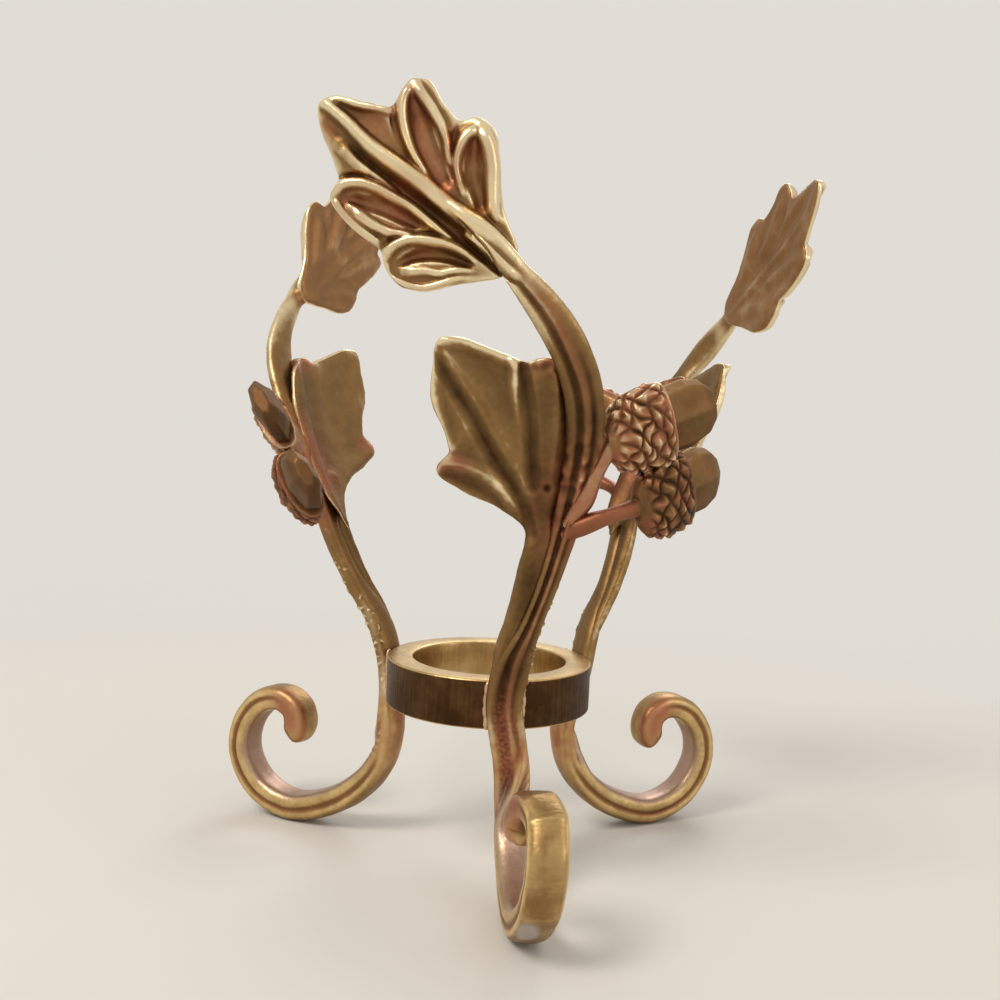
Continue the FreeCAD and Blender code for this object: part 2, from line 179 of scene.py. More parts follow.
# Where each leaf's outline starts, sideways and up in mm, and its lobes in shares of the leaf
UPPER_ROOT = (-0.02 * ARM_SWAY, 0.733 * CROWN_RISE)
UPPER_OUTLINE = [
    [(-0.04, 0.08), (0.02, -0.03), (0.10, -0.05), (0.21, -0.07), (0.34, -0.10), (0.44, -0.08),
     (0.50, -0.01), (0.52, 0.06)],
    [(0.52, 0.06), (0.60, 0.11), (0.68, 0.18), (0.73, 0.26), (0.69, 0.32)],
    [(0.69, 0.32), (0.73, 0.42), (0.78, 0.54), (0.785, 0.62), (0.74, 0.645), (0.62, 0.63), (0.49, 0.60)],
    [(0.49, 0.60), (0.465, 0.65), (0.41, 0.72), (0.35, 0.715), (0.29, 0.63), (0.22, 0.555)],
    [(0.22, 0.555), (0.15, 0.58), (0.085, 0.54), (0.055, 0.42), (0.035, 0.25), (-0.04, 0.08)],
]
# Relief of the upper leaf's face: a line in leaf shares, half width at both ends and height, in mm
UPPER_RIDGES = [
    ([(0.17, 0.125), (0.09, 0.063), (0.01, -0.005), (-0.08, -0.07)], 1.1, 1.3, 1.5),
    ([(0.76, 0.62), (0.70, 0.632), (0.62, 0.612), (0.51, 0.592), (0.47, 0.577)], 1.3, 1.0, 1.0),
    ([(0.69, 0.455), (0.63, 0.392), (0.55, 0.34), (0.45, 0.275)], 1.7, 1.0, 0.5),
    ([(0.72, 0.26), (0.676, 0.300), (0.616, 0.311), (0.548, 0.297), (0.474, 0.261), (0.394, 0.219),
      (0.326, 0.169), (0.258, 0.121), (0.21, 0.083)], 1.5, 1.0, 1.9),
    ([(0.715, 0.25), (0.69, 0.21), (0.62, 0.145), (0.54, 0.09), (0.51, 0.07)], 1.2, 1.0, 1.1),
    ([(0.64, 0.205), (0.564, 0.158), (0.496, 0.128), (0.41, 0.117), (0.344, 0.117)], 1.5, 0.9, 1.3),
    ([(0.50, 0.03), (0.468, 0.068), (0.41, 0.096), (0.322, 0.099), (0.242, 0.083), (0.176, 0.053),
      (0.12, 0.017)], 1.4, 1.1, 1.9),
    ([(0.50, 0.02), (0.49, -0.04), (0.43, -0.072), (0.342, -0.088), (0.27, -0.068), (0.204, -0.045),
      (0.10, -0.035)], 1.1, 0.9, 1.0),
    ([(0.42, -0.03), (0.338, -0.022), (0.272, -0.027), (0.206, -0.013), (0.12, -0.015)], 1.1, 0.8, 0.8),
    ([(0.41, 0.697), (0.442, 0.645), (0.446, 0.577), (0.43, 0.503), (0.402, 0.435), (0.36, 0.373),
      (0.318, 0.323)], 1.5, 0.9, 1.7),
    ([(0.41, 0.70), (0.37, 0.647), (0.328, 0.593), (0.294, 0.540), (0.272, 0.487), (0.256, 0.413),
      (0.228, 0.351)], 1.5, 0.9, 1.7),
    ([(0.144, 0.535), (0.194, 0.50), (0.222, 0.439), (0.226, 0.375), (0.208, 0.313), (0.184, 0.251)],
     1.3, 0.9, 1.6),
    ([(0.14, 0.535), (0.102, 0.467), (0.083, 0.387), (0.080, 0.305), (0.070, 0.215), (0.03, 0.15)],
     1.7, 1.6, 1.7),
]
# Scoops and grooves: the line, the half width in the middle and the depth, in mm
UPPER_HOLLOWS = [
    ([(0.75, 0.535), (0.632, 0.430), (0.536, 0.352), (0.422, 0.278), (0.314, 0.206), (0.218, 0.135),
      (0.144, 0.079), (0.062, 0.019), (-0.026, -0.045), (-0.11, -0.11)], 1.45, 1.6),
    ([(0.69, 0.590), (0.60, 0.545), (0.53, 0.500), (0.46, 0.43), (0.40, 0.37)], 2.9, 0.9),
    ([(0.68, 0.255), (0.58, 0.237), (0.50, 0.215), (0.418, 0.179), (0.33, 0.140)], 1.8, 1.7),
    ([(0.47, -0.01), (0.374, 0.037), (0.274, 0.045), (0.208, 0.033), (0.13, 0.003)], 1.6, 1.7),
    ([(0.405, 0.655), (0.38, 0.57), (0.358, 0.49), (0.325, 0.41), (0.286, 0.343), (0.25, 0.29)], 2.3, 1.4),
    ([(0.148, 0.52), (0.160, 0.42), (0.153, 0.34), (0.132, 0.28), (0.112, 0.20)], 2.0, 1.7),
    ([(0.49, 0.60), (0.475, 0.52), (0.445, 0.44), (0.40, 0.37)], 1.0, 0.9),
    ([(0.222, 0.555), (0.248, 0.47), (0.245, 0.39), (0.22, 0.31)], 1.0, 1.0),
    ([(0.52, 0.06), (0.45, 0.106), (0.36, 0.124), (0.28, 0.105), (0.20, 0.065)], 0.9, 1.1),
    ([(0.70, 0.33), (0.62, 0.338), (0.55, 0.324), (0.47, 0.288), (0.40, 0.243)], 1.0, 1.2),
]
UPPER_MIDRIB = [(0.75, 0.61), (0.67, 0.545), (0.586, 0.467), (0.478, 0.393), (0.384, 0.333), (0.282, 0.255),
                (0.18, 0.187), (0.094, 0.139), (0.012, 0.079), (-0.09, -0.015)]
MIDRIB_HALVES = np.array([1.3, 1.7, 1.9, 2.0, 2.1, 2.1])
# Where the midrib starts on the leaf, the way it runs and the way the lobes stand off it
MIDRIB_FOOT = np.array([-0.05, 0.03])
MIDRIB_ALONG = np.array([0.81, 0.59])
MIDRIB_LEVEL = np.array([-0.59, 0.81]) / math.hypot(0.59, 0.81)

LOWER_ROOT = (0.215 * ARM_SWAY, 0.310 * CROWN_RISE)
LOWER_OUTLINE = [
    [(0.03, -0.12), (-0.05, 0.04), (-0.20, 0.17), (-0.39, 0.25), (-0.52, 0.36), (-0.50, 0.40),
     (-0.455, 0.44)],
    [(-0.455, 0.44), (-0.49, 0.55), (-0.555, 0.69), (-0.555, 0.85), (-0.525, 0.99), (-0.46, 1.00),
     (-0.28, 0.95), (-0.10, 0.89)],
    [(-0.10, 0.89), (-0.03, 0.92), (0.06, 0.91), (0.16, 0.85), (0.22, 0.70), (0.22, 0.40),
     (0.16, 0.06), (0.03, -0.12)],
]
# Relief of the lower leaf: planes that meet in ridges (above 0) and creases (below 0), with the
# line, the reach of the slope at both ends, and the height at both ends, in mm
LOWER_TENTS = [
    ([(-0.56, 0.94), (-0.461, 0.78), (-0.361, 0.635), (-0.282, 0.501), (-0.209, 0.383), (-0.143, 0.294),
      (-0.09, 0.17), (-0.06, 0.05)], 2.0, 2.8, -1.2, -1.0),
    ([(-0.50, 0.93), (-0.40, 0.83), (-0.29, 0.70), (-0.21, 0.56), (-0.14, 0.42), (-0.07, 0.26)],
     4.5, 3.0, 0.9, 0.4),
    ([(-0.45, 0.44), (-0.40, 0.52), (-0.36, 0.60)], 3.0, 4.0, 0.5, 0.3),
    ([(-0.53, 0.99), (-0.40, 0.968), (-0.28, 0.935), (-0.16, 0.885)], 2.2, 1.8, 1.2, 0.8),
    ([(-0.555, 0.95), (-0.55, 0.80), (-0.53, 0.68), (-0.49, 0.55), (-0.45, 0.46)], 2.0, 1.8, 0.9, 0.4),
    ([(-0.155, 0.89), (-0.155, 0.785), (-0.150, 0.70), (-0.135, 0.60)], 2.2, 1.0, 1.1, 0.1),
    ([(-0.50, 0.385), (-0.411, 0.385), (-0.311, 0.355), (-0.202, 0.280), (-0.11, 0.165), (-0.05, 0.02)],
     2.4, 2.2, 1.3, 0.7),
    ([(-0.47, 0.33), (-0.36, 0.29), (-0.255, 0.235), (-0.134, 0.13), (-0.08, 0.00)], 2.6, 2.2, -1.0, -0.5),
    ([(-0.13, 0.88), (-0.10, 0.74), (-0.075, 0.588), (-0.06, 0.435), (-0.04, 0.30)], 2.0, 2.2, -1.1, -0.7),
    ([(0.03, 0.84), (0.06, 0.70), (0.06, 0.55), (0.05, 0.42)], 5.0, 4.0, 1.2, 0.6),
    ([(-0.09, 0.90), (-0.02, 0.91), (0.06, 0.89), (0.14, 0.83)], 1.8, 1.8, 0.9, 0.6),
]

# Stalk's foot, rim and way of pointing, and how a bent acorn's rim is moved
ACORNS = {
    "upper": ((0.00, 0.06, -0.28), (-0.17, 0.64, 0.42), (-0.39, 0.86, 0.33), (0.00, 0.00, -0.13)),
    "lower": ((0.00, 0.00, -0.36), (-0.45, 0.83, -0.08), (-0.64, 0.70, 0.28), (-0.13, -0.06, -0.15)),
}
CUP_SWELL = [(0.00, 0.36), (0.08, 0.62), (0.28, 0.87), (0.60, 1.00), (1.00, 0.97)]
NUT_SWELL = [(0.00, 0.98), (0.50, 1.03), (0.80, 0.86), (1.00, 0.48)]
SCALES_AROUND = 10
SCALE_ROW = 4.3
NUT_FACETS = 7
RING_STEPS = 160
FILLER_SIZE = (0.7, 1.0, 2.3)
FILLER_HEIGHTS = (-3.9, -1.4, 1.2, 3.6)
FILLER_APART = 4.4

# Finishes: the roughness and grain of each kind of part where they differ
ROUGHNESS = {"ring": 0.34, "nut": 0.50, "braze": 0.46}
USUAL_ROUGHNESS = 0.42
GRAINS = {"foot": 0.9, "braze": 0.6}
USUAL_GRAIN = 0.7
GRAIN_HEIGHT = 0.10
SCRATCH_HEIGHT = 0.15
SCRATCH_WIDTH = 0.9
CLOUD_WIDTH = 9.0
# Pale grey of bare metal, also standing in for a painted glint
WORN_GLINT_METAL = "#B4ADA3"

# Stage: the lamps' places and sizes in metres with their power in watts, and the photograph's camera
BACKDROP = "#E1DDD6"
ROOM = "#E9E6E0"
LAMPS = (("soft_key", (-0.55, -0.55, 0.85), 0.45, 6.0, "#FFF7EC"),
         ("soft_fill", (0.95, -0.55, 0.45), 0.70, 1.6, "#FFF8F0"),
         ("soft_back", (0.25, 0.95, 0.75), 0.60, 3.0, "#FFFFFF"))
LAMP_TARGET = (0, 0, 0.03)
FLOOR_FADE = (0.14, 0.55)
SENSOR_WIDTH = 36.0
PHOTO_WIDTH = 1000
PHOTO_FOCUS = 1193.04
CAMERA_PLACE = (-5.343, -308.146, 72.12)
CAMERA_RIGHT = (0.99879, -0.01645, 0.04634)
CAMERA_FORWARD = (0.02013, 0.99659, -0.08000)


def linear(hex_colour):
    """An sRGB hex colour as linear red, green, blue and alpha."""
    channels = [int(hex_colour[i:i + 2], 16) / 255 for i in (1, 3, 5)]
    return tuple(c / 12.92 if c <= 0.04045 else ((c + 0.055) / 1.055) ** 2.4 for c in channels) + (1.0,)


# Paths and sections

def arm_point(row):
    return Vector((RING_OUTER + row[0] * FLARE_REACH, row[1] * ARM_SWAY, row[2] * CROWN_RISE))


def foot_point(row, arm):
    neck_up = FOOT_PATH[-1][2]
    inwards = FOOT_TUCKS[arm] * (neck_up - row[2]) / (neck_up + 1)
    sideways = FOOT_SWINGS[arm] * max(row[0] - FOOT_PIVOT_SHARE, 0) * (1 + row[2])
    sideways += CURL_SWAYS[arm] * max(1 - FOOT_PATH.index(row) / CURL_ROWS, 0)
    return Vector((RING_OUTER + row[0] * FOOT_REACH - inwards, row[1] * ARM_SWAY + sideways,
                   row[2] * LEG_DROP))


def flow(rows, per_span):
    """Rows of numbers joined by one smooth line; the first columns are a place and set the pace."""
    rows = np.array(rows, float)
    dims = min(3, rows.shape[1])
    steps = np.linalg.norm(np.diff(rows[:, :dims], axis=0), axis=1)
    slopes = np.diff(rows, axis=0) / steps[:, None]
    tangents = np.vstack([slopes[:1], slopes])
    weighed = slopes[:-1] * steps[1:, None] + slopes[1:] * steps[:-1, None]
    tangents[1:-1] = weighed / (steps[:-1] + steps[1:])[:, None]
    places = []
    for i, step in enumerate(steps):
        for t in np.linspace(0, 1, per_span, endpoint=False):
            a = 2 * t ** 3 - 3 * t ** 2 + 1
            b = t ** 3 - 2 * t ** 2 + t
            c = -2 * t ** 3 + 3 * t ** 2
            d = t ** 3 - t ** 2
            places.append(a * rows[i] + b * step * tangents[i]
                          + c * rows[i + 1] + d * step * tangents[i + 1])
    places.append(rows[-1])
    return np.array(places)


def across(direction, hint):
    side = hint - direction * hint.dot(direction)
    return side.normalized()


def arm_rows(arm):
    """The whole arm as one bar, from the curl of its foot to the tip of its midrib."""
    rows = [(*foot_point(row, arm), row[3] * STRAP_WIDTH, row[4] * STRAP_THICK, *STEM_SIDE)
            for row in FOOT_PATH]
    for path, side in ((STEM_PATH + UPPER_PATH[1:4], STEM_SIDE), (UPPER_PATH[4:], LEAF_SIDE)):
        rows += [(*arm_point(row), row[3] * STEM_WIDTH, row[4] * STEM_THICK, *side) for row in path]
    return rows


def bar_stations(rows, per_span, round_start=False, round_end=False):
    """Where each section of a bar stands: centre, side, face, width, thickness and row."""
    line = flow(rows, per_span)
    lengths = np.concatenate([[0], np.cumsum(np.linalg.norm(np.diff(line[:, :3], axis=0), axis=1))])
    total = lengths[-1]
    stations = []
    for i, row in enumerate(line):
        before = line[max(i - 1, 0), :3]
        after = line[min(i + 1, len(line) - 1), :3]
        direction = Vector(after - before).normalized()
        side = across(direction, Vector(row[5:8]))
        size = 1.0
        if round_start:
            size = min(size, nose(lengths[i], rows[0][4] / 2))
        if round_end:
            size = min(size, nose(total - lengths[i], rows[-1][4] / 2))
        stations.append((Vector(row[:3]), side, direction.cross(side), row[3] * size, row[4] * size,
                         i / per_span))
    return stations


def on_bar(co, stations):
    """For each point: the row of the bar it lies at, its place across and through, and the face there."""
    centres = np.array([s[0] for s in stations])
    steps = np.gradient(centres, axis=0)
    halves = np.array([(s[3] / 2, s[4] / 2) for s in stations])
    sides = np.array([s[1] for s in stations])
    faces = np.array([s[2] for s in stations])
    nearest = np.empty(len(co), int)
    for first in range(0, len(co), BATCH):
        part = co[first:first + BATCH]
        gaps = ((part[:, None, :] - centres[None, :, :]) ** 2).sum(axis=2)
        nearest[first:first + BATCH] = gaps.argmin(axis=1)
    apart = co - centres[nearest]
    step = steps[nearest]
    place = nearest + np.clip((apart * step).sum(axis=1) / (step ** 2).sum(axis=1), -0.6, 0.6)
    place = np.clip(place, 0, len(stations) - 1)
    whole = np.arange(len(stations))
    values = []
    for table in (centres, sides, faces, halves):
        values.append(np.column_stack([np.interp(place, whole, column) for column in table.T]))
    centre, side, face, half = values
    apart = co - centre
    u = (apart * side).sum(axis=1) / half[:, 0]
    v = (apart * face).sum(axis=1) / half[:, 1]
    row = np.interp(place, whole, [s[5] for s in stations])
    return row, u, v, face


def nose(place, depth):
    """How much of its size a bar has near its rounded end."""
    if place >= depth:
        return 1.0
    return max(0.22, math.sqrt(1 - (1 - place / depth) ** 2))


def squared(turn, squareness):
    """A point of a circle that is pushed out towards a square."""
    c = math.cos(turn)
    s = math.sin(turn)
    return math.copysign(abs(c) ** (2 / squareness), c), math.copysign(abs(s) ** (2 / squareness), s)


def sweep(bm, stations, sides, section):
    """Extrudes a circle from station to station and shapes each ring by section(turn, place)."""
    layer = bm.verts.layers.float.new("turn")
    ring = bmesh.ops.create_circle(bm, cap_ends=False, segments=sides, radius=1.0)["verts"]
    for vert in ring:
        vert[layer] = math.atan2(vert.co.y, vert.co.x)
    edges = list({edge for vert in ring for edge in vert.link_edges})
    ends = [edges]
    for index, (centre, side, face, width, thick, place) in enumerate(stations):
        if index:
            grown = bmesh.ops.extrude_edge_only(bm, edges=edges)["geom"]
            ring = [item for item in grown if isinstance(item, bmesh.types.BMVert)]
            members = set(ring)
            edges = [item for item in grown if isinstance(item, bmesh.types.BMEdge)
                     and item.verts[0] in members and item.verts[1] in members]
        for vert in ring:
            u, v = section(vert[layer], place)
            vert.co = centre + side * (u * width / 2) + face * (v * thick / 2)
    ends.append(edges)
    for loop in ends:
        bmesh.ops.contextual_create(bm, geom=loop)
    bmesh.ops.recalc_face_normals(bm, faces=bm.faces)


def oval_section(turn, place):
    return squared(turn, 2.2)


def bell(value, middle, spread):
    return np.exp(-((value - middle) / spread) ** 2)


def bar_section(turn, row):
    """A squared strap at the foot that turns into the rounder stem at the neck."""
    return squared(turn, 3.4 - 1.0 * float(step_up(NECK_ROW - 3.5, NECK_ROW - 0.5, row)))


def strands(row, u, v):
    """Height of the strands along the arm's outer face: two grooves that open at the ring."""
    outer = step_up(0.05, 0.55, -v)
    leaf = 1 - step_up(FORK_ROW + 5.0, FORK_ROW + 6.5, row)
    fork = 1 - step_up(FORK_ROW + 1.5, FORK_ROW + 3.5, row)
    left_start = step_up(NECK_ROW - 2.8, NECK_ROW - 0.6, row)
    right_start = step_up(NECK_ROW - 0.9, NECK_ROW + 0.6, row)
    wide = 1 + 0.8 * (1 - step_up(NECK_ROW + 0.5, NECK_ROW + 2.5, row))
    middle = -0.26 - 0.14 * step_up(FORK_ROW + 1, FORK_ROW + 5, row)
    middle -= 0.30 * (1 - step_up(NECK_ROW - 2.4, NECK_ROW - 0.2, row))
    left = np.exp(-(np.abs(u - middle) / (0.21 * wide)) ** 3) * leaf * left_start
    right = bell(u, 0.44, 0.16) * fork * right_start
    deep = 1.0 - 0.35 * step_up(FORK_ROW - 1.0, FORK_ROW + 1.0, row)
    return -(deep * left + 0.5 * right) * outer


def fork_marks(row, u, v):
    """A notch where the strands part and the lump of filler below it."""
    pit = bell(row, FORK_ROW + 0.7, 0.34) * bell(u, -0.42, 0.24)
    lump = bell(row, FORK_ROW + 0.05, 0.42) * bell(u, -0.18, 0.5)
    rim = bell(row, FORK_ROW - 0.6, 0.3) * bell(u, 0.1, 0.4)
    return (0.9 * lump + 0.5 * rim - 0.3 * pit) * step_up(0.05, 0.5, -v)


def neck_twist(row, u, facing):
    """The strap turns into the stem: a fold climbs across it with fine wrinkles beside it."""
    fold = u - 0.75 * (row - NECK_ROW + 1.5)
    ridge = 1.6 * bell(fold, 0.0, 0.24) - 0.55 * bell(fold, -0.48, 0.2) - 0.45 * bell(fold, 0.46, 0.18)
    wrinkles = 0.14 * np.sin(2 * math.pi * (4.5 * row - 2.4 * u)) * bell(fold, 0.75, 0.4)
    return (ridge + wrinkles) * bell(row, NECK_ROW - 1.5, 0.85) * step_up(-0.1, 0.5, -facing)


def cast_bumps(co, row, u):
    """Beads of metal along the right edge of the stem just above the ring."""
    beads = np.clip(noise_values(co, 1.3, 13) - 0.22, 0, 1) * step_up(0.6, 0.9, u)
    return 1.3 * beads * bell(row, NECK_ROW + 2.2, 1.4)


# Meshes

def mesh_of(bm, name):
    mesh = bpy.data.meshes.new(name)
    bm.to_mesh(mesh)
    bm.free()
    return mesh


def fused(mesh, name, voxel, smooth_rounds):
    """One closed skin over all the shells in the mesh."""
    piece = bpy.data.objects.new(name, mesh)
    bpy.context.scene.collection.objects.link(piece)
    remesh = piece.modifiers.new("skin", "REMESH")
    remesh.mode = "VOXEL"
    remesh.voxel_size = voxel
    smooth = piece.modifiers.new("smooth", "SMOOTH")
    smooth.factor = 0.5
    smooth.iterations = smooth_rounds
    graph = bpy.context.evaluated_depsgraph_get()
    made = bpy.data.meshes.new_from_object(piece.evaluated_get(graph))
    bpy.data.objects.remove(piece)
    bpy.data.meshes.remove(mesh)
    return made


def coords(mesh):
    co = np.empty(len(mesh.vertices) * 3)
    mesh.vertices.foreach_get("co", co)
    return co.reshape(-1, 3)


def normals(mesh):
    out = np.empty(len(mesh.vertices) * 3, np.float32)
    mesh.vertex_normals.foreach_get("vector", out)
    return out.reshape(-1, 3).astype(float)


def set_coords(mesh, co):
    mesh.vertices.foreach_set("co", co.reshape(-1))
    mesh.update()


def relaxed(mesh, co, rounds, factor=0.5):
    """The places after each vertex has moved towards the mean of its neighbours a few times."""
    edges = np.empty(len(mesh.edges) * 2, np.int64)
    mesh.edges.foreach_get("vertices", edges)
    one, two = edges.reshape(-1, 2).T
    count = np.bincount(one, minlength=len(co)) + np.bincount(two, minlength=len(co))
    count = np.maximum(count, 1)[:, None]
    for _ in range(rounds):
        total = np.empty_like(co)
        for axis in range(co.shape[1]):
            total[:, axis] = (np.bincount(one, co[two, axis], len(co))
                              + np.bincount(two, co[one, axis], len(co)))
        co = co + factor * (total / count - co)
    return co


def softened(mesh, co, rounds, share):
    """The places moved by a share of what relaxing does to them."""
    return co + (relaxed(mesh, co, rounds) - co) * share[:, None]


def step_up(low, high, value):
    """0 below low and 1 above high, with a smooth rise between."""
    t = np.clip((value - low) / (high - low), 0, 1)
    return t * t * (3 - 2 * t)


def noise_values(co, scale, seed):
    offset = Vector((seed * 17.3, seed * 5.1, seed * 9.7))
    return np.array([noise.noise(Vector(p) / scale + offset) for p in co])


def line_profile(flat, line, widths, unit):
    """How deep inside a stroke each point is, 1 on its line and 0 beyond its edge, and how far along."""
    dense = flow(line, LINE_STEPS) * unit
    reach = float(np.max(widths)) + 0.5
    low = dense.min(axis=0) - reach
    high = dense.max(axis=0) + reach
    near = np.where(np.all((flat > low) & (flat < high), axis=1))[0]
    out = np.zeros(len(flat))
    along = np.zeros(len(flat))
    gaps = np.linalg.norm(flat[near][:, None, :] - dense[None, :, :], axis=2)
    nearest = gaps.argmin(axis=1)
    share = nearest / (len(dense) - 1)
    half = np.interp(share, np.linspace(0, 1, len(widths)), widths)
    distance = gaps[np.arange(len(near)), nearest]
    out[near] = np.clip(1 - (distance / half) ** 2, 0, 1)
    along[near] = share
    return out, along


def relief(flat, ridges, hollows, unit):
    """Height of a leaf's face over its plain blade; a ridge loses height towards its end."""
    floor = np.zeros(len(flat))
    for line, half, depth in hollows:
        spindle = half * np.array([0.35, 0.75, 0.95, 1.0, 1.0, 0.95, 0.8, 0.45])
        dip, along = line_profile(flat, line, spindle, unit)
        fade = step_up(0.0, 0.2, along) * (1 - step_up(0.85, 1.0, along))
        floor = np.minimum(floor, -depth * dip * fade)
    top = floor
    for line, start, end, height in ridges:
        widths = np.linspace(start, end, 5) * np.array([1, 1, 1, 0.9, 0.6])
        crest, along = line_profile(flat, line, widths, unit)
        fade = (0.4 + 0.6 * step_up(0.0, 0.12, along)) * (1 - step_up(0.72, 1.0, along))
        raised = floor + (height * fade - floor) * crest ** 0.85
        top = np.maximum(top, np.where((crest > 0) & (fade > 0.02), raised, -9))
    return top


def folds(flat, tents, unit):
    """Height of a leaf made of planes: every fold slopes evenly away from its line."""
    height = np.zeros(len(flat))
    for line, start_reach, end_reach, start, end in tents:
        dense = flow(line, LINE_STEPS) * unit
        gaps = np.linalg.norm(flat[:, None, :] - dense[None, :, :], axis=2)
        nearest = gaps.argmin(axis=1)
        share = nearest / (len(dense) - 1)
        reach = start_reach + (end_reach - start_reach) * share
        slope = np.clip(1 - gaps[np.arange(len(flat)), nearest] / reach, 0, 1)
        height += (start + (end - start) * share) * slope
    return height


def outline_prism(lobes, unit, name):
    """A flat blade with the outline of a leaf, skinned fine enough to bend."""
    bm = bmesh.new()
    points = [p * unit for lobe in lobes for p in flow(lobe, OUTLINE_STEPS)[:-1]]
    loop = [bm.verts.new((p[0], p[1], -BLADE_THICK / 2)) for p in points]
    edges = [bm.edges.new((a, b)) for a, b in zip(loop, loop[1:] + loop[:1])]
    bmesh.ops.contextual_create(bm, geom=edges)
    grown = bmesh.ops.extrude_face_region(bm, geom=bm.faces[:])["geom"]
    bmesh.ops.translate(bm, verts=[g for g in grown if isinstance(g, bmesh.types.BMVert)],
                        vec=(0, 0, BLADE_THICK))
    bmesh.ops.triangulate(bm, faces=bm.faces)
    bmesh.ops.recalc_face_normals(bm, faces=bm.faces)
    return fused(mesh_of(bm, name), name, BLADE_VOXEL, 2)


def joined(meshes, name):
    bm = bmesh.new()
    for mesh in meshes:
        bm.from_mesh(mesh)
        bpy.data.meshes.remove(mesh)
    return mesh_of(bm, name)


def cast_skin(mesh, lump, seed):
    """Slightly uneven skin of a sand casting."""
    co = coords(mesh)
    wave = noise_values(co, 4.5, seed) * lump + noise_values(co, 1.3, seed + 1) * lump * 0.35
    set_coords(mesh, co + normals(mesh) * wave[:, None])


def mark(mesh, name, value):
    """Keeps one number for each vertex, which the finish reads as an attribute."""
    mesh.attributes.new(name, "FLOAT", "POINT").data.foreach_set("value", value.astype(np.float32))


def mark_copper(mesh, value):
    mark(mesh, "copper", np.clip(value, 0, 1))


def mark_cavities(mesh, crease_shade=0.0, calm=0.0, shade_and_age=0.0):
    """Keeps how hollow (above 0) or proud (below 0) the surface is, for patina and polish, and for painted
    shade in the broad hollows.

    The second argument adds painted shade in grooves and creases, the third takes the difference out of
    smooth faces, and the fourth moves the whole darker, and lighter where it is below 0: painted light and
    shade, together with some aging.
    """
    co = coords(mesh)
    out = normals(mesh)
    near = relaxed(mesh, co, 5)
    middle = relaxed(mesh, near, 30)
    far = relaxed(mesh, middle, 120)
    value = 1.7 * np.einsum("ij,ij->i", near - co, out)
    value += 0.75 * np.einsum("ij,ij->i", middle - co, out)
    # The widest relaxing finds the broad hollows, which this term darkens as painted shade
    value += 0.30 * np.einsum("ij,ij->i", far - co, out)
    value = np.where(value > 0, 0.6 * value, value)
    mark(mesh, "cavity", np.tanh(value * (1 - calm) + crease_shade + shade_and_age))


def near_joints(co):
    """Copper tone round the fork and the neck, where filler and flame changed the skin."""
    fork = np.array(arm_point(STEM_PATH[-1])) + np.array([0, 1.0, -7.0])
    neck = np.array(arm_point(STEM_PATH[0])) + np.array([0, 0, -8.0])
    fork_gap = np.linalg.norm((co - fork) / np.array([1, 1, 1.5]), axis=1)
    neck_gap = np.linalg.norm((co - neck) / np.array([1, 1, 1.8]), axis=1)
    tint = np.maximum(1 - step_up(5, 16, fork_gap), 0.9 * (1 - step_up(4, 11, neck_gap)))
    return np.clip(tint * (0.75 + 0.5 * noise_values(co, 2.5, 7)), 0, 1)


# Pieces of one arm

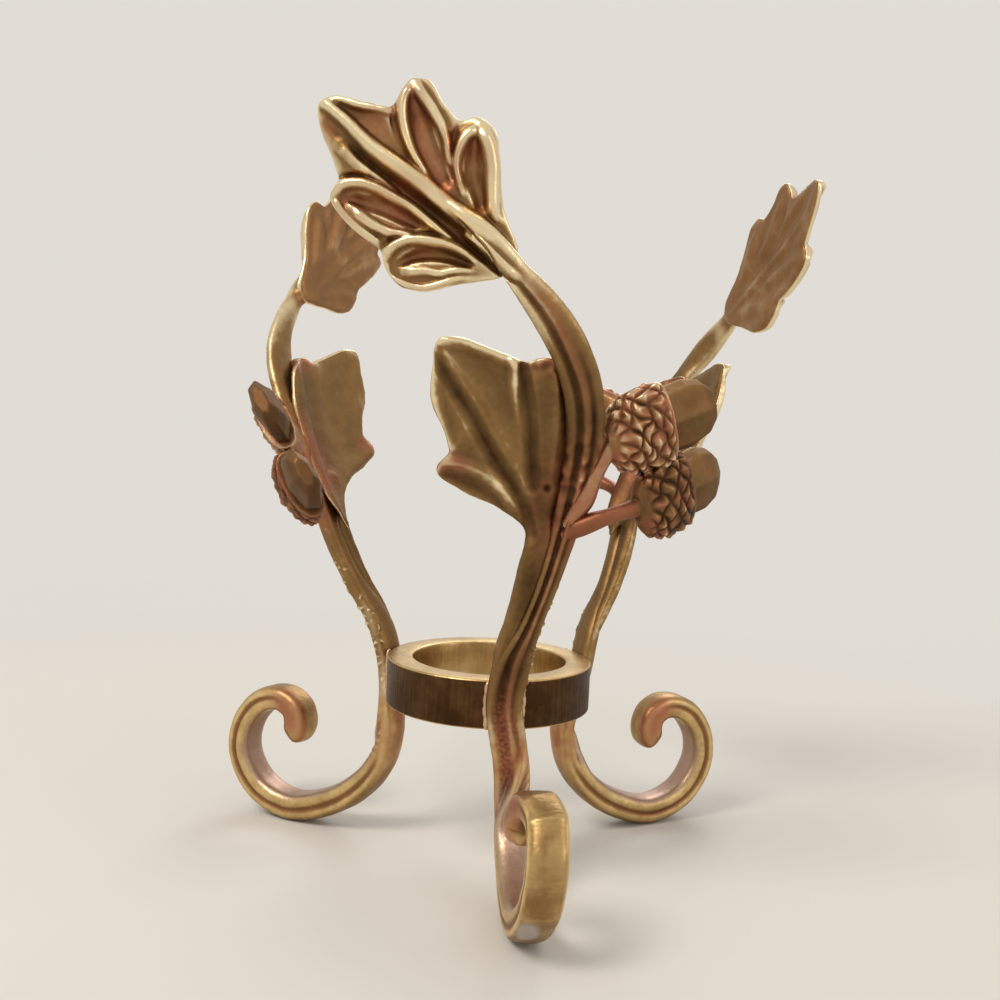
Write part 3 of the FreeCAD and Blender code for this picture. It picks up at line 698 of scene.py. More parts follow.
def shape_bar(mesh, line, arm, inside=1.0):
    """Gives a bar its relief, painted shade and tones; inside is where the bar isn't hidden in a blade."""
    co = coords(mesh)
    out = normals(mesh)
    row, u, v, face = on_bar(co, line)
    facing = (out * face).sum(axis=1)
    groove = strands(row, u, v) * inside
    flow_mark = noise_values(co, 2.4, 67) * bell(row, FORK_ROW, 0.9) * step_up(0.0, 0.5, -v)
    rise = groove + (cast_bumps(co, row, u) + 0.8 * flow_mark + fork_marks(row, u, v)) * inside
    rise += neck_twist(row, u, facing)
    strap = 1 - step_up(NECK_ROW - 3.0, NECK_ROW - 1.5, row)
    outer = step_up(0.2, 0.8, facing) * strap
    if arm == "front":
        blow = row * BLOWS_PER_ROW + 0.20 * np.sin(row * 3.1) + 0.08 * u
        rise -= BLOW_DEPTH * (1 - (2 * (blow - np.floor(blow)) - 1) ** 2) * outer
    low_part = 1 - step_up(NECK_ROW + 0.8, NECK_ROW + 2.2, row)
    rise += 0.30 * noise_values(co, 0.8, 97) * np.clip(-groove, 0, 1) * low_part
    flank = step_up(0.55, 0.85, np.abs(u)) * (1 - step_up(0.5, 0.9, np.abs(facing)))
    seam = bell(v, 0.10, 0.20) * flank * step_up(2.5, 4.0, row) * strap
    rise -= SEAM_DEPTH * seam
    set_coords(mesh, co + out * (rise * np.maximum(inside, seam))[:, None])
    cast_skin(mesh, 0.11, 3)
    co = coords(mesh)
    co[:, 2] = np.maximum(co[:, 2], -LEG_DROP)
    set_coords(mesh, co)
    # Painted shade in the grooves between the strands and in the seams along the foot's flanks
    crease_shade = np.clip(-groove, 0, 1) * (0.12 + 0.12 * step_up(NECK_ROW, NECK_ROW + 1.5, row)) + 0.05 * seam
    # The stem from the neck to above the fork is painted darker as painted shade with some aging, most
    # round the fork; the outer face of the foot's lower part is made a little darker
    stem_span = step_up(NECK_ROW - 0.5, NECK_ROW + 2.0, row) * (1 - step_up(FORK_ROW + 1, FORK_ROW + 5, row))
    low_outer_face = step_up(6.4, 7.0, row) * outer
    shade_and_age = (0.42 * stem_span + 0.28 * bell(row, FORK_ROW + 1.5, 2.6)) * ARM_SHADE_AND_AGE[arm] + 0.12 * low_outer_face
    middle = 0.5 * bell(u, 0.09, 0.33) * step_up(0, 0.4, -v) * step_up(NECK_ROW - 1, NECK_ROW + 1, row)
    tint = np.maximum(near_joints(co), middle + 1.3 * np.clip(-groove, 0, 1) * low_part)
    inner = step_up(0.2, 0.8, -facing) * step_up(4.0, 6.0, row)
    inner *= 1 - step_up(NECK_ROW - 2.0, NECK_ROW - 0.8, row)
    curl = (1 - step_up(2.4, 4.0, row)) * step_up(0.2, 0.8, np.abs(u))
    tint = np.maximum(np.maximum(tint, 0.9 * inner), np.maximum(curl, 0.45 * seam))
    # A spot of bare metal on the front foot that is also a painted glint, and some of the same on the
    # foot's inner face
    spot = np.hypot((row - WORN_GLINT_SPOT[0]) / WORN_GLINT_REACH[0], (u - WORN_GLINT_SPOT[1]) / WORN_GLINT_REACH[1])
    worn = (1 - step_up(0.6, 1.15, spot)) * outer * (arm == "front")
    calm = np.maximum(0.6 * outer, 0.35 * stem_span)
    return row, crease_shade, calm, shade_and_age, tint, np.maximum(worn, 0.45 * inner)


def cut_bar(mesh, row, line, low=None, high=None):
    """Keeps a bar between two of its rows and closes it with flat ends."""
    bm = bmesh.new()
    bm.from_mesh(mesh)
    layer = bm.verts.layers.float.new("row")
    for vert, value in zip(bm.verts, row):
        vert[layer] = value
    for cut, sign in ((low, 1), (high, -1)):
        if cut is None:
            continue
        beyond = [vert for vert in bm.verts if (vert[layer] - cut) * sign < -CUT_REACH]
        bmesh.ops.delete(bm, geom=beyond, context="VERTS")
        near = {vert for vert in bm.verts if abs(vert[layer] - cut) <= CUT_REACH}
        edges = [edge for edge in bm.edges if near.issuperset(edge.verts)]
        faces = [face for face in bm.faces if near.issuperset(face.verts)]
        centre, side, face = line[round(cut * ROW_STEPS)][:3]
        bmesh.ops.bisect_plane(bm, geom=[*near, *edges, *faces], dist=1e-4, plane_co=centre,
                               plane_no=side.cross(face) * sign, clear_inner=True)
        rim = [edge for edge in bm.edges if edge.is_boundary]
        bmesh.ops.holes_fill(bm, edges=rim, sides=0)
        for edge in rim:
            edge.smooth = False
    bmesh.ops.recalc_face_normals(bm, faces=bm.faces)
    bm.verts.layers.float.remove(layer)
    return mesh_of(bm, "cut_bar")


def arm_bar(arm):
    """The foot and the stem of one arm as two pieces of the same bar."""
    line = bar_stations(arm_rows(arm), ROW_STEPS, round_start=True)
    bm = bmesh.new()
    sweep(bm, line[:(FORK_ROW + 1) * ROW_STEPS + 1], BAR_SIDES, bar_section)
    mesh = fused(mesh_of(bm, "bar"), "bar", BAR_VOXEL, 2)
    row, crease_shade, calm, shade_and_age, tint, worn = shape_bar(mesh, line, arm)
    mark_cavities(mesh, crease_shade, calm, shade_and_age)
    mark_copper(mesh, tint)
    mark(mesh, "worn", worn)
    foot = cut_bar(mesh, row, line, high=NECK_ROW)
    stem = cut_bar(mesh, row, line, low=NECK_ROW, high=FORK_ROW)
    bpy.data.meshes.remove(mesh)
    return foot, stem


def upper_surface(y, z):
    """How far out the dished middle of the upper leaf lies."""
    outward = Vector((1, -0.10, -0.10)).normalized()
    hub_x = RING_OUTER + FLARE_REACH - 0.015 * LEAF_LENGTH - outward.x * LEAF_DISH_RADIUS
    hub_y = UPPER_ROOT[0] - 0.38 * LEAF_LENGTH - outward.y * LEAF_DISH_RADIUS
    hub_z = UPPER_ROOT[1] + 0.30 * LEAF_LENGTH - outward.z * LEAF_DISH_RADIUS
    return hub_x + np.sqrt(LEAF_DISH_RADIUS ** 2 - (y - hub_y) ** 2 - (z - hub_z) ** 2)


def lower_surface(y, z):
    """How far out the dished middle of the lower leaf lies."""
    outward = Vector((1, 0, -LOWER_LEAN)).normalized()
    hub_x = (RING_OUTER + 0.466 * FLARE_REACH + LOWER_LEAN * 0.5 * LOWER_LEAF_HEIGHT
             - outward.x * LOWER_DISH_RADIUS)
    hub_y = LOWER_ROOT[0] - 0.12 * LOWER_LEAF_HEIGHT
    hub_z = LOWER_ROOT[1] + 0.5 * LOWER_LEAF_HEIGHT - outward.z * LOWER_DISH_RADIUS
    return hub_x + np.sqrt(LOWER_DISH_RADIUS ** 2 - (y - hub_y) ** 2 - (z - hub_z) ** 2)


def trimmed(points, trims):
    """Places drawn towards the midrib by one share above it and by another below it."""
    points = np.array(points, float)
    apart = (points - MIDRIB_FOOT) @ MIDRIB_LEVEL
    pull = apart * np.where(apart > 0, trims[0], trims[1])
    return points - pull[:, None] * MIDRIB_LEVEL


def upper_leaf_mesh(arm):
    trims = LEAF_TRIMS[arm]
    blade = outline_prism([trimmed(lobe, trims) for lobe in UPPER_OUTLINE], LEAF_LENGTH, "upper_blade")
    flat = coords(blade)
    y = UPPER_ROOT[0] - flat[:, 0]
    z = UPPER_ROOT[1] + flat[:, 1]
    set_coords(blade, np.column_stack([upper_surface(y, z) + flat[:, 2], y, z]))
    line = bar_stations(arm_rows(arm), ROW_STEPS, round_end=True)
    bm = bmesh.new()
    sweep(bm, line[(FORK_ROW - 1) * ROW_STEPS:], BAR_SIDES, bar_section)
    mesh = fused(joined([blade, mesh_of(bm, "upper_stem")], "upper_leaf"), "upper_leaf", BAR_VOXEL, 2)
    co = coords(mesh)
    flat = np.column_stack([UPPER_ROOT[0] - co[:, 1], co[:, 2] - UPPER_ROOT[1]])
    on_blade = step_up(-4.5, -0.5, flat[:, 0] + 0.4 * flat[:, 1])
    row, crease_shade, _, shade_and_age, tint, _ = shape_bar(mesh, line, arm, 1 - on_blade)
    co = coords(mesh)
    out = normals(mesh)
    ridges = [(trimmed(places, trims), *rest) for places, *rest in UPPER_RIDGES]
    hollows = [(trimmed(places, trims), *rest) for places, *rest in UPPER_HOLLOWS]
    height = relief(flat, ridges, hollows, LEAF_LENGTH)
    rib, _ = line_profile(flat, UPPER_MIDRIB, MIDRIB_HALVES, LEAF_LENGTH)
    along = (flat @ MIDRIB_ALONG) * step_up(-2, 2, flat[:, 0])
    height = height * (1 - step_up(0.0, 0.5, rib)) + (0.4 + 1.5 * step_up(7, 15, along)) * rib ** 0.8
    front = step_up(0.05, 0.5, out[:, 0]) * on_blade
    back = step_up(0.0, 0.5, -out[:, 0]) * on_blade
    co[:, 0] += height * front
    co[:, 0] += 0.55 * np.clip(height, -1, 1) * back
    co = softened(mesh, co, 30, back)
    heel = bell(np.hypot(flat[:, 0] + 1, flat[:, 1] - 1), 0, 6.0) * step_up(-0.5, 0.3, -out[:, 0])
    co = softened(mesh, co, 90, heel)
    moved = np.maximum(front, back) > 0
    co[moved] = relaxed(mesh, co, 1, 0.4)[moved]
    set_coords(mesh, co)
    # Painted shade in the deep groove under the midrib; the floors of the hollows are made lighter
    groove, _ = line_profile(flat, hollows[0][0], [1.4], LEAF_LENGTH)
    floor = np.clip(-height, 0, 1.2) * front
    mark_cavities(mesh, crease_shade + (0.22 * groove * (1 - rib) - 0.26 * floor) * front, 0.85 * back,
                  shade_and_age * (1 - on_blade) + 0.05 * back)
    scoop, _ = line_profile(flat, hollows[4][0], [2.5], LEAF_LENGTH)
    web, _ = line_profile(flat, trimmed([(0.25, 0.50), (0.235, 0.42), (0.215, 0.33)], trims), [2.5],
                          LEAF_LENGTH)
    warm = np.clip(0.9 * noise_values(co, 9.0, 89) + 0.1, 0, 0.5) * front
    pink = np.maximum(0.8 * front * np.maximum(scoop, web), 0.22 * floor + 0.25 * back + warm)
    mark_copper(mesh, np.maximum(tint * (1 - on_blade), pink))
    leaf = cut_bar(mesh, np.where(on_blade > 0, FORK_ROW + 5, row), line, low=FORK_ROW)
    bpy.data.meshes.remove(mesh)
    return leaf


def lower_leaf_mesh(arm):
    blade = outline_prism(LOWER_OUTLINE, LOWER_LEAF_HEIGHT, "lower_blade")
    flat = coords(blade)
    y = LOWER_ROOT[0] + flat[:, 0]
    z = LOWER_ROOT[1] + flat[:, 1]
    behind = 2.2 * step_up(1.5, 5.5, flat[:, 0])
    set_coords(blade, np.column_stack([lower_surface(y, z) + flat[:, 2] - behind, y, z]))
    rows = [(*arm_point(row), row[3] * STALK_WIDTH, row[4] * STALK_THICK, *STEM_SIDE) for row in STALK_PATH]
    bm = bmesh.new()
    sweep(bm, bar_stations(rows, STALK_STEPS, round_start=True, round_end=True), 32, oval_section)
    mesh = fused(joined([blade, mesh_of(bm, "stalk")], "lower_leaf"), "lower_leaf", LOWER_VOXEL, 3)
    co = coords(mesh)
    flat = np.column_stack([co[:, 1] - LOWER_ROOT[0], co[:, 2] - LOWER_ROOT[1]])
    facing = normals(mesh)[:, 0]
    front = step_up(0.05, 0.5, facing)
    back = step_up(0.2, 0.7, -facing)
    root = np.array(arm_point(STALK_PATH[-2]))
    melt = np.maximum(back, 1 - step_up(5.0, 10.0, np.linalg.norm(co - root, axis=1)))
    co = softened(mesh, co, 40, melt)
    height = folds(flat, LOWER_TENTS, LOWER_LEAF_HEIGHT) * step_up(-6.0, 0.0, flat[:, 1])
    pit = bell(np.hypot(flat[:, 0] - 1.3, flat[:, 1] - 12.5), 0, 0.8)
    height -= 0.9 * pit
    edge = step_up(34, 40, flat[:, 1] + 0.1 * flat[:, 0]) * step_up(-7, -2, flat[:, 0])
    height += 0.7 * noise_values(co, 1.7, 83) * edge
    co[:, 0] += height * front
    co[:, 0] += 0.14 * np.clip(height, -1, 1) * back
    set_coords(mesh, relaxed(mesh, co, 2, 0.4))
    cast_skin(mesh, 0.16, 31)
    # Painted shade with some aging: the lower leaf is darker all over, more towards its bottom and on its
    # side by the stem, and its creases and its pit get painted shade
    leaf_shade_and_age = 0.44 + 0.22 * (1 - step_up(-12, 4, flat[:, 1])) + 0.3 * step_up(-6, 0, flat[:, 0])
    mark_cavities(mesh, (0.22 * np.clip(-height, -0.4, 1.5) + 0.3 * pit) * front, 0.85 * back,
                  ARM_SHADE_AND_AGE[arm] * leaf_shade_and_age - 0.14)
    lobe, _ = line_profile(flat, [(-0.50, 0.385), (-0.45, 0.40), (-0.40, 0.385)], [3.0],
                           LOWER_LEAF_HEIGHT)
    mark_copper(mesh, np.maximum(near_joints(coords(mesh)), 0.8 * np.maximum(edge, lobe)))
    return mesh


def acorn_frame(which, arm):
    foot_share, rim_share, aim, bend = ACORNS[which]
    fork = arm_point(STEM_PATH[-1])
    foot = fork + Vector(foot_share) * ACORN_REACH
    rim = fork + (Vector(rim_share) + Vector(bend) * ACORN_BENDS[arm]) * ACORN_REACH
    aim = Vector(aim).normalized()
    level = across(aim, Vector((rim.x, rim.y, 0)))
    upright = level.cross(aim)
    turn = math.radians(ACORN_ROLLS[arm])
    outward = level * math.cos(turn) - upright * math.sin(turn)
    return foot, rim, aim, outward, upright * math.cos(turn) + level * math.sin(turn)


def stem_axis(height):
    """Where the middle of the stem is at a height."""
    line = flow([tuple(arm_point(row)) for row in STEM_PATH], 8)
    return Vector([np.interp(height, line[:, 2], column) for column in line.T])


def swell_stations(start, aim, upward, outward, length, swell, width, thick, per_span):
    rows = flow([(along * length, size) for along, size in swell], per_span)
    return [(start + aim * row[0], upward, outward, row[1] * width, row[1] * thick, row[0] / length)
            for row in rows]


def cup_mesh(which, arm):
    foot, rim, aim, outward, upward = acorn_frame(which, arm)
    base = rim - aim * CUP_LENGTH
    bm = bmesh.new()
    stations = swell_stations(base, aim, upward, outward, CUP_LENGTH, CUP_SWELL, CUP_WIDTH, CUP_THICK, 6)
    sweep(bm, stations, 48, oval_section)
    stalk = bmesh.new()
    seat = base + aim * (0.12 * CUP_LENGTH)
    root = stem_axis(foot.z - 3)
    side = foot + (base - foot) * 0.22 + (root - foot) * 0.35
    bow = foot + (base - foot) * 0.6
    rows = [(*place, size * ACORN_STALK, size * ACORN_STALK, *STALK_SIDE)
            for place, size in ((root, 0.9), (side, 1.25), (bow, 0.98), (seat, 1.25))]
    sweep(stalk, bar_stations(rows, STALK_STEPS), 20, oval_section)
    mesh = fused(joined([mesh_of(bm, "cup"), mesh_of(stalk, "acorn_stalk")], "cup"), "cup", ACORN_VOXEL, 3)
    co = coords(mesh)
    out = normals(mesh)
    local = co - np.array(base)
    along = local @ np.array(aim) / CUP_LENGTH
    up = local @ np.array(upward)
    turn = np.arctan2(local @ np.array(outward) / CUP_THICK, up / CUP_WIDTH)
    around = turn / (2 * math.pi) * SCALES_AROUND
    rows = along * CUP_LENGTH / SCALE_ROW
    wander = 0.75 * noise_values(co, 4.6, 71)
    p = around + rows + wander
    q = around - rows - 0.7 * wander
    pyramid = 1 - 2 * np.maximum(np.abs(p - np.floor(p) - 0.5), np.abs(q - np.floor(q) - 0.5))
    front = step_up(-0.35, 0.1, out @ np.array(outward))
    body = step_up(0.06, 0.16, along) * (1 - step_up(0.90, 0.97, along))
    ragged = 1 + 0.9 * noise_values(co, 2.6, 41)
    rise = (pyramid ** 0.6 * 1.25 - 0.40) * front * body * ragged
    co += out * rise[:, None]
    within = np.clip(1 - (up / (CUP_WIDTH * 0.42)) ** 2, 0, 1)
    hollow = step_up(0.3, 0.8, -(out @ np.array(outward))) * within
    co += np.array(outward) * (1.5 * hollow * step_up(0.05, 0.3, along))[:, None]
    set_coords(mesh, relaxed(mesh, co, 3, 0.35))
    cast_skin(mesh, 0.12, 43)
    # Painted shade in the gaps between the scales; the lower cup is also made darker all over
    gaps = np.clip(0.35 - rise, 0, 1) * front * body
    mark_cavities(mesh, 0.75 * gaps, 0.0, 0.12 if which == "upper" else 0.50)
    patches = 0.62 + 0.8 * noise_values(coords(mesh), 4.0, 47)
    mark_copper(mesh, np.maximum(patches, 1 - step_up(-0.1, 0.05, along)))
    return mesh


def nut_mesh(which, arm):
    """A nut with flat facets seated in its cup, its upward facets painted lighter and its downward ones
    darker as painted light and shade.
    """
    _, rim, aim, outward, upward = acorn_frame(which, arm)
    length = NUT_LENGTH + NUT_SEAT
    stations = [(rim - aim * NUT_SEAT + aim * along * length, upward, outward, size * NUT_WIDTH,
                 size * NUT_THICK, along) for along, size in NUT_SWELL]
    bm = bmesh.new()
    sweep(bm, stations, NUT_FACETS, lambda turn, place: (math.cos(turn), math.sin(turn)))
    bmesh.ops.bevel(bm, geom=bm.edges[:], offset=0.35, offset_type="OFFSET", affect="EDGES", segments=2,
                    profile=0.5, material=-1)
    mesh = fused(mesh_of(bm, "nut"), "nut", ACORN_VOXEL, 1)
    cast_skin(mesh, 0.05, 53)
    # Painted light and shade: facets that face up are lighter and facets that face down darker, and each
    # arm's nuts are darker all over by their own share
    level = normals(mesh) @ np.array(upward)
    shade = 0.55 * (1 - step_up(-0.7, 0.1, level)) - 0.25 * step_up(0.2, 0.9, level)
    mark_cavities(mesh, 0.0, 0.75, NUT_DARKNESS[arm] + NUT_SHADES[arm] * shade)
    mark_copper(mesh, 0.15 + 0.3 * noise_values(coords(mesh), 5.0, 59))
    return mesh


def ring_braze_mesh():
    """Runs of solidified filler beside the stem: flattened balls melted together."""
    seat = STEM_PATH[1][1] * ARM_SWAY
    bm = bmesh.new()
    for side in (-1, 1):
        for height in FILLER_HEIGHTS:
            ball = bmesh.ops.create_icosphere(bm, subdivisions=3, radius=1.0)["verts"]
            bmesh.ops.scale(bm, vec=FILLER_SIZE, verts=ball)
            apart = FILLER_APART - 0.1 * abs(height)
            bmesh.ops.translate(bm, vec=(RING_OUTER, seat + side * apart, height), verts=ball)
    mesh = fused(mesh_of(bm, "filler"), "filler", BRAZE_VOXEL, 3)
    cast_skin(mesh, 0.25, 61)
    mark_cavities(mesh)
    mark_copper(mesh, 0.85 + 0.4 * noise_values(coords(mesh), 1.5, 61))
    return mesh


def ring_mesh(bore, wall, height, rounding):
    """The turned ring: a rectangle spun about the bore's axis, with its rims rounded."""
    bm = bmesh.new()
    inner = bore / 2
    outer = inner + wall
    loop = [bm.verts.new((x, 0, side * height / 2))
            for x, side in ((inner, -1), (outer, -1), (outer, 1), (inner, 1))]
    for a, b in zip(loop, loop[1:] + loop[:1]):
        bm.edges.new((a, b))
    bmesh.ops.bevel(bm, geom=loop, offset=rounding, offset_type="OFFSET", affect="VERTICES", segments=3,
                    profile=0.5, material=-1)
    bmesh.ops.spin(bm, geom=bm.verts[:] + bm.edges[:], cent=(0, 0, 0), axis=(0, 0, 1), dvec=(0, 0, 0),
                   angle=2 * math.pi, steps=RING_STEPS, use_merge=True)
    bmesh.ops.recalc_face_normals(bm, faces=bm.faces)
    mesh = mesh_of(bm, "ring")
    mark_ring(mesh)
    return mesh


def mark_ring(mesh):
    """Pale flat rims, a golden inner wall and a dark outer wall, partly patina and partly painted
    reflection, with a flush of copper at the arms.
    """
    co = coords(mesh)
    tint = np.zeros(len(co))
    for angle in ARM_ANGLES.values():
        seat = RING_OUTER * np.array([math.cos(math.radians(angle)), math.sin(math.radians(angle)), 0])
        tint = np.maximum(tint, 1 - step_up(5, 12, np.linalg.norm(co - seat, axis=1)))
    mark_copper(mesh, 0.35 * tint)
    # The outer wall is painted dark: partly patina, partly a painted reflection of dark surroundings
    outer = step_up(RING_OUTER - 0.6, RING_OUTER - 0.1, np.hypot(co[:, 0], co[:, 1]))
    flat = step_up(5.6, 6.0, np.abs(co[:, 2]))
    mark(mesh, "cavity", np.where(flat > 0.5, -0.28, -0.16 + 0.86 * outer))


# Finishes

def node(tree, kind, settings=None, **links):
    """Adds a node, sets its properties and sockets, and links other nodes' outputs into it."""
    made = tree.nodes.new(kind)
    for key, value in (settings or {}).items():
        if isinstance(key, str) and hasattr(made, key):
            setattr(made, key, value)
        else:
            made.inputs[key].default_value = value
    for socket, source in links.items():
        name = socket.replace("_", " ")
        target = made.inputs[int(name[1:])] if name[0] == "i" and name[1:].isdigit() else made.inputs[name]
        tree.links.new(source, target)
    return made


def ramp(tree, source, stops):
    made = node(tree, "ShaderNodeValToRGB", None, Fac=source)
    line = made.color_ramp
    while len(line.elements) < len(stops):
        line.elements.new(0.5)
    for element, (place, colour) in zip(line.elements, stops):
        element.position = place
        element.color = colour
    return made.outputs["Color"]


def mixed_colour(tree, share, first, second):
    """Mixes two colours, of which the second may be a plain one."""
    made = node(tree, "ShaderNodeMix", {"data_type": "RGBA"}, i0=share, i6=first)
    if isinstance(second, tuple):
        made.inputs[7].default_value = second
    else:
        tree.links.new(second, made.inputs[7])
    return made.outputs[2]


def cast_brass(name, colours, roughness, grain_width, scratches):
    """Sand-cast brass, satin and old: gold on rims that use has polished, which also carry painted
    highlights, brown skin, near black in the recesses, which is patina with painted shade.

    The cavity attribute tells rims from recesses and the copper attribute where flame and filler
    left a pink tone; the bare-metal attribute marks bare metal that also carries a painted glint. The grain
    is that of casting sand, a little coarse so that it shows. Scratches are the upright tool marks of
    turned metal.
    """
    rim, skin, recess, copper = colours
    material = bpy.data.materials.new(name)
    material.use_nodes = True
    tree = material.node_tree
    tree.nodes.clear()
    place = node(tree, "ShaderNodeTexCoord").outputs["Object"]
    cavity, pink, bare_and_glint = (node(tree, "ShaderNodeAttribute", {"attribute_name": key}).outputs["Fac"]
                            for key in ("cavity", "copper", "worn"))
    cloud = node(tree, "ShaderNodeTexNoise", {"Scale": 1 / (CLOUD_WIDTH * MM), "Detail": 4.0,
                                              "Roughness": 0.6}, Vector=place).outputs["Fac"]
    grain = node(tree, "ShaderNodeTexNoise", {"Scale": 1 / (grain_width * MM), "Detail": 3.0,
                                              "Roughness": 0.6}, Vector=place).outputs["Fac"]
    depth = node(tree, "ShaderNodeMath", {"operation": "MULTIPLY_ADD", 1: 0.5, 2: 0.35},
                 i0=cavity).outputs[0]
    depth = node(tree, "ShaderNodeMath", {"operation": "MULTIPLY_ADD", 1: 0.30},
                 i0=cloud, i2=depth).outputs[0]
    bump = node(tree, "ShaderNodeBump", {"Strength": 0.6, "Distance": GRAIN_HEIGHT * MM}, Height=grain)
    if scratches:
        thin = node(tree, "ShaderNodeMapping", {"Scale": (1, 1, 0.06)}, Vector=place).outputs["Vector"]
        lines = node(tree, "ShaderNodeTexNoise", {"Scale": 1 / (SCRATCH_WIDTH * MM), "Detail": 3.0},
                     Vector=thin).outputs["Fac"]
        drawn = node(tree, "ShaderNodeMath", {"operation": "MULTIPLY_ADD", 1: 0.12, 2: -0.06}, i0=lines)
        depth = node(tree, "ShaderNodeMath", {"operation": "ADD"}, i0=drawn.outputs[0], i1=depth).outputs[0]
        bump = node(tree, "ShaderNodeBump", {"Strength": scratches, "Distance": SCRATCH_HEIGHT * MM},
                    Height=lines, Normal=bump.outputs["Normal"])
    tone = ramp(tree, depth, [(0.30, rim), (0.50, skin), (0.88, recess)])
    pale = tuple(0.35 * a + 0.65 * b for a, b in zip(rim, copper))
    pinked = ramp(tree, depth, [(0.28, pale), (0.50, copper), (0.90, recess)])
    tone = mixed_colour(tree, pink, tone, pinked)
    # The bare-metal mark also carries a painted glint
    tone = mixed_colour(tree, bare_and_glint, tone, linear(WORN_GLINT_METAL))
    gloss = node(tree, "ShaderNodeMapRange", {"From Min": 0.25, "From Max": 0.75,
                                              "To Min": roughness - 0.08, "To Max": roughness + 0.12},
                 Value=depth)
    surface = node(tree, "ShaderNodeBsdfPrincipled", {"Metallic": 1.0}, Base_Color=tone,
                   Roughness=gloss.outputs[0], Normal=bump.outputs["Normal"])
    node(tree, "ShaderNodeOutputMaterial", None, Surface=surface.outputs[0])
    return material


def finish_for(part):
    """The material of one kind of part, made when it is first asked for."""
    name = "aged_brass_" + part
    if name in bpy.data.materials:
        return bpy.data.materials[name]
    look = bpy.context.scene.candle_ring_finish
    rim = "strap" if part in ("foot", "ring") else "rim"
    colours = [tuple(getattr(look, key)) + (1,) for key in (rim, "skin", "recess", "copper")]
    return cast_brass(name, colours, ROUGHNESS.get(part, USUAL_ROUGHNESS), GRAINS.get(part, USUAL_GRAIN),
                      0.5 if part == "ring" else 0.0)


def place_piece(mesh, name, angle, part, *nodes):
    """Turns a finished mesh to its arm, brings it to metres and makes it a piece of the object."""
    mesh.transform(Matrix.Scale(MM, 4) @ Matrix.Rotation(math.radians(angle), 4, "Z"))
    mesh.polygons.foreach_set("use_smooth", [True] * len(mesh.polygons))
    mesh.name = name
    mesh.materials.clear()
    mesh.materials.append(finish_for(part))
    piece = bpy.data.objects.new(name, mesh)
    bpy.context.scene.collection.objects.link(piece)
    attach(piece, "root")
    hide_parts(*nodes)


class CandleRingSizes(bpy.types.PropertyGroup):
    bore: bpy.props.FloatProperty(
        name="Bore", description="Width of the open ring inside", default=0.040, unit="LENGTH")
    wall: bpy.props.FloatProperty(
        name="Wall", description="Thickness of the ring's wall", default=0.0065, unit="LENGTH")
    height: bpy.props.FloatProperty(
        name="Height", description="Height of the ring's wall", default=0.0121, unit="LENGTH")
    rounding: bpy.props.FloatProperty(
        name="Rounding", description="Radius of the ring's rims", default=0.0005, unit="LENGTH")
    floor: bpy.props.FloatProperty(
        name="Floor", description="Width of the floor that the feet stand on", default=6.0, unit="LENGTH")


class CandleRingFinish(bpy.types.PropertyGroup):
    # The pale rim tone also stands in for painted highlights on ridges and rims
    rim: bpy.props.FloatVectorProperty(
        name="Worn rim", description="Brass where hands and cloths rub it bright",
        subtype="COLOR", size=3, min=0, max=1, default=linear("#F0DDB4")[:3])
    strap: bpy.props.FloatVectorProperty(
        name="Strap", description="Golden brass of the feet and the ring, rubbed in use",
        subtype="COLOR", size=3, min=0, max=1, default=linear("#E4C68A")[:3])
    skin: bpy.props.FloatVectorProperty(
        name="Skin", description="Brass as it ages in the open",
        subtype="COLOR", size=3, min=0, max=1, default=linear("#96754A")[:3])
    # The recess tone is patina, deepened into painted shade in the broad hollows
    recess: bpy.props.FloatVectorProperty(
        name="Recess", description="Brass darkened where dirt settles",
        subtype="COLOR", size=3, min=0, max=1, default=linear("#422C1A")[:3])
    copper: bpy.props.FloatVectorProperty(
        name="Copper tone", description="Pink tone that flame and filler leave",
        subtype="COLOR", size=3, min=0, max=1, default=linear("#A86C50")[:3])
    floor: bpy.props.FloatVectorProperty(
        name="Floor", description="Colour of the floor",
        subtype="COLOR", size=3, min=0, max=1, default=linear("#DEDBD6")[:3])


class OBJECT_OT_candle_ring_body(bpy.types.Operator):
    """Make the open ring that seats the candle"""
    bl_idname = "object.candle_ring_body"
    bl_label = "Ring"

    def execute(self, context):
        sizes = context.scene.candle_ring_sizes
        mesh = ring_mesh(sizes.bore / MM, sizes.wall / MM, sizes.height / MM, sizes.rounding / MM)
        place_piece(mesh, "open_ring", 0, "ring", "ring")
        return {"FINISHED"}


class OBJECT_OT_candle_ring_bars(bpy.types.Operator):
    """Make the scroll feet, the front one tucked in and swung aside, and the stems above them"""
    bl_idname = "object.candle_ring_bars"
    bl_label = "Feet and stems"

    def execute(self, context):
        for arm, angle in ARM_ANGLES.items():
            foot, stem = arm_bar(arm)
            place_piece(foot, arm + "_scroll", angle, "foot", arm + "_scroll_foot")
            place_piece(stem, arm + "_stranded_stem", angle, "stem", arm + "_stem")
        return {"FINISHED"}


class OBJECT_OT_candle_ring_upper_leaves(bpy.types.Operator):
    """Make the large lobed leaves with the stems that carry them"""
    bl_idname = "object.candle_ring_upper_leaves"
    bl_label = "Upper leaves"

    def execute(self, context):
        for arm, angle in ARM_ANGLES.items():
            place_piece(upper_leaf_mesh(arm), arm + "_large_leaf", angle, "leaf", arm + "_upper_leaf")
        return {"FINISHED"}


class OBJECT_OT_candle_ring_lower_leaves(bpy.types.Operator):
    """Make the smaller leaves with their stalks along the stems"""
    bl_idname = "object.candle_ring_lower_leaves"
    bl_label = "Lower leaves"

    def execute(self, context):
        for arm, angle in ARM_ANGLES.items():
            place_piece(lower_leaf_mesh(arm), arm + "_small_leaf", angle, "leaf", arm + "_lower_leaf")
        return {"FINISHED"}


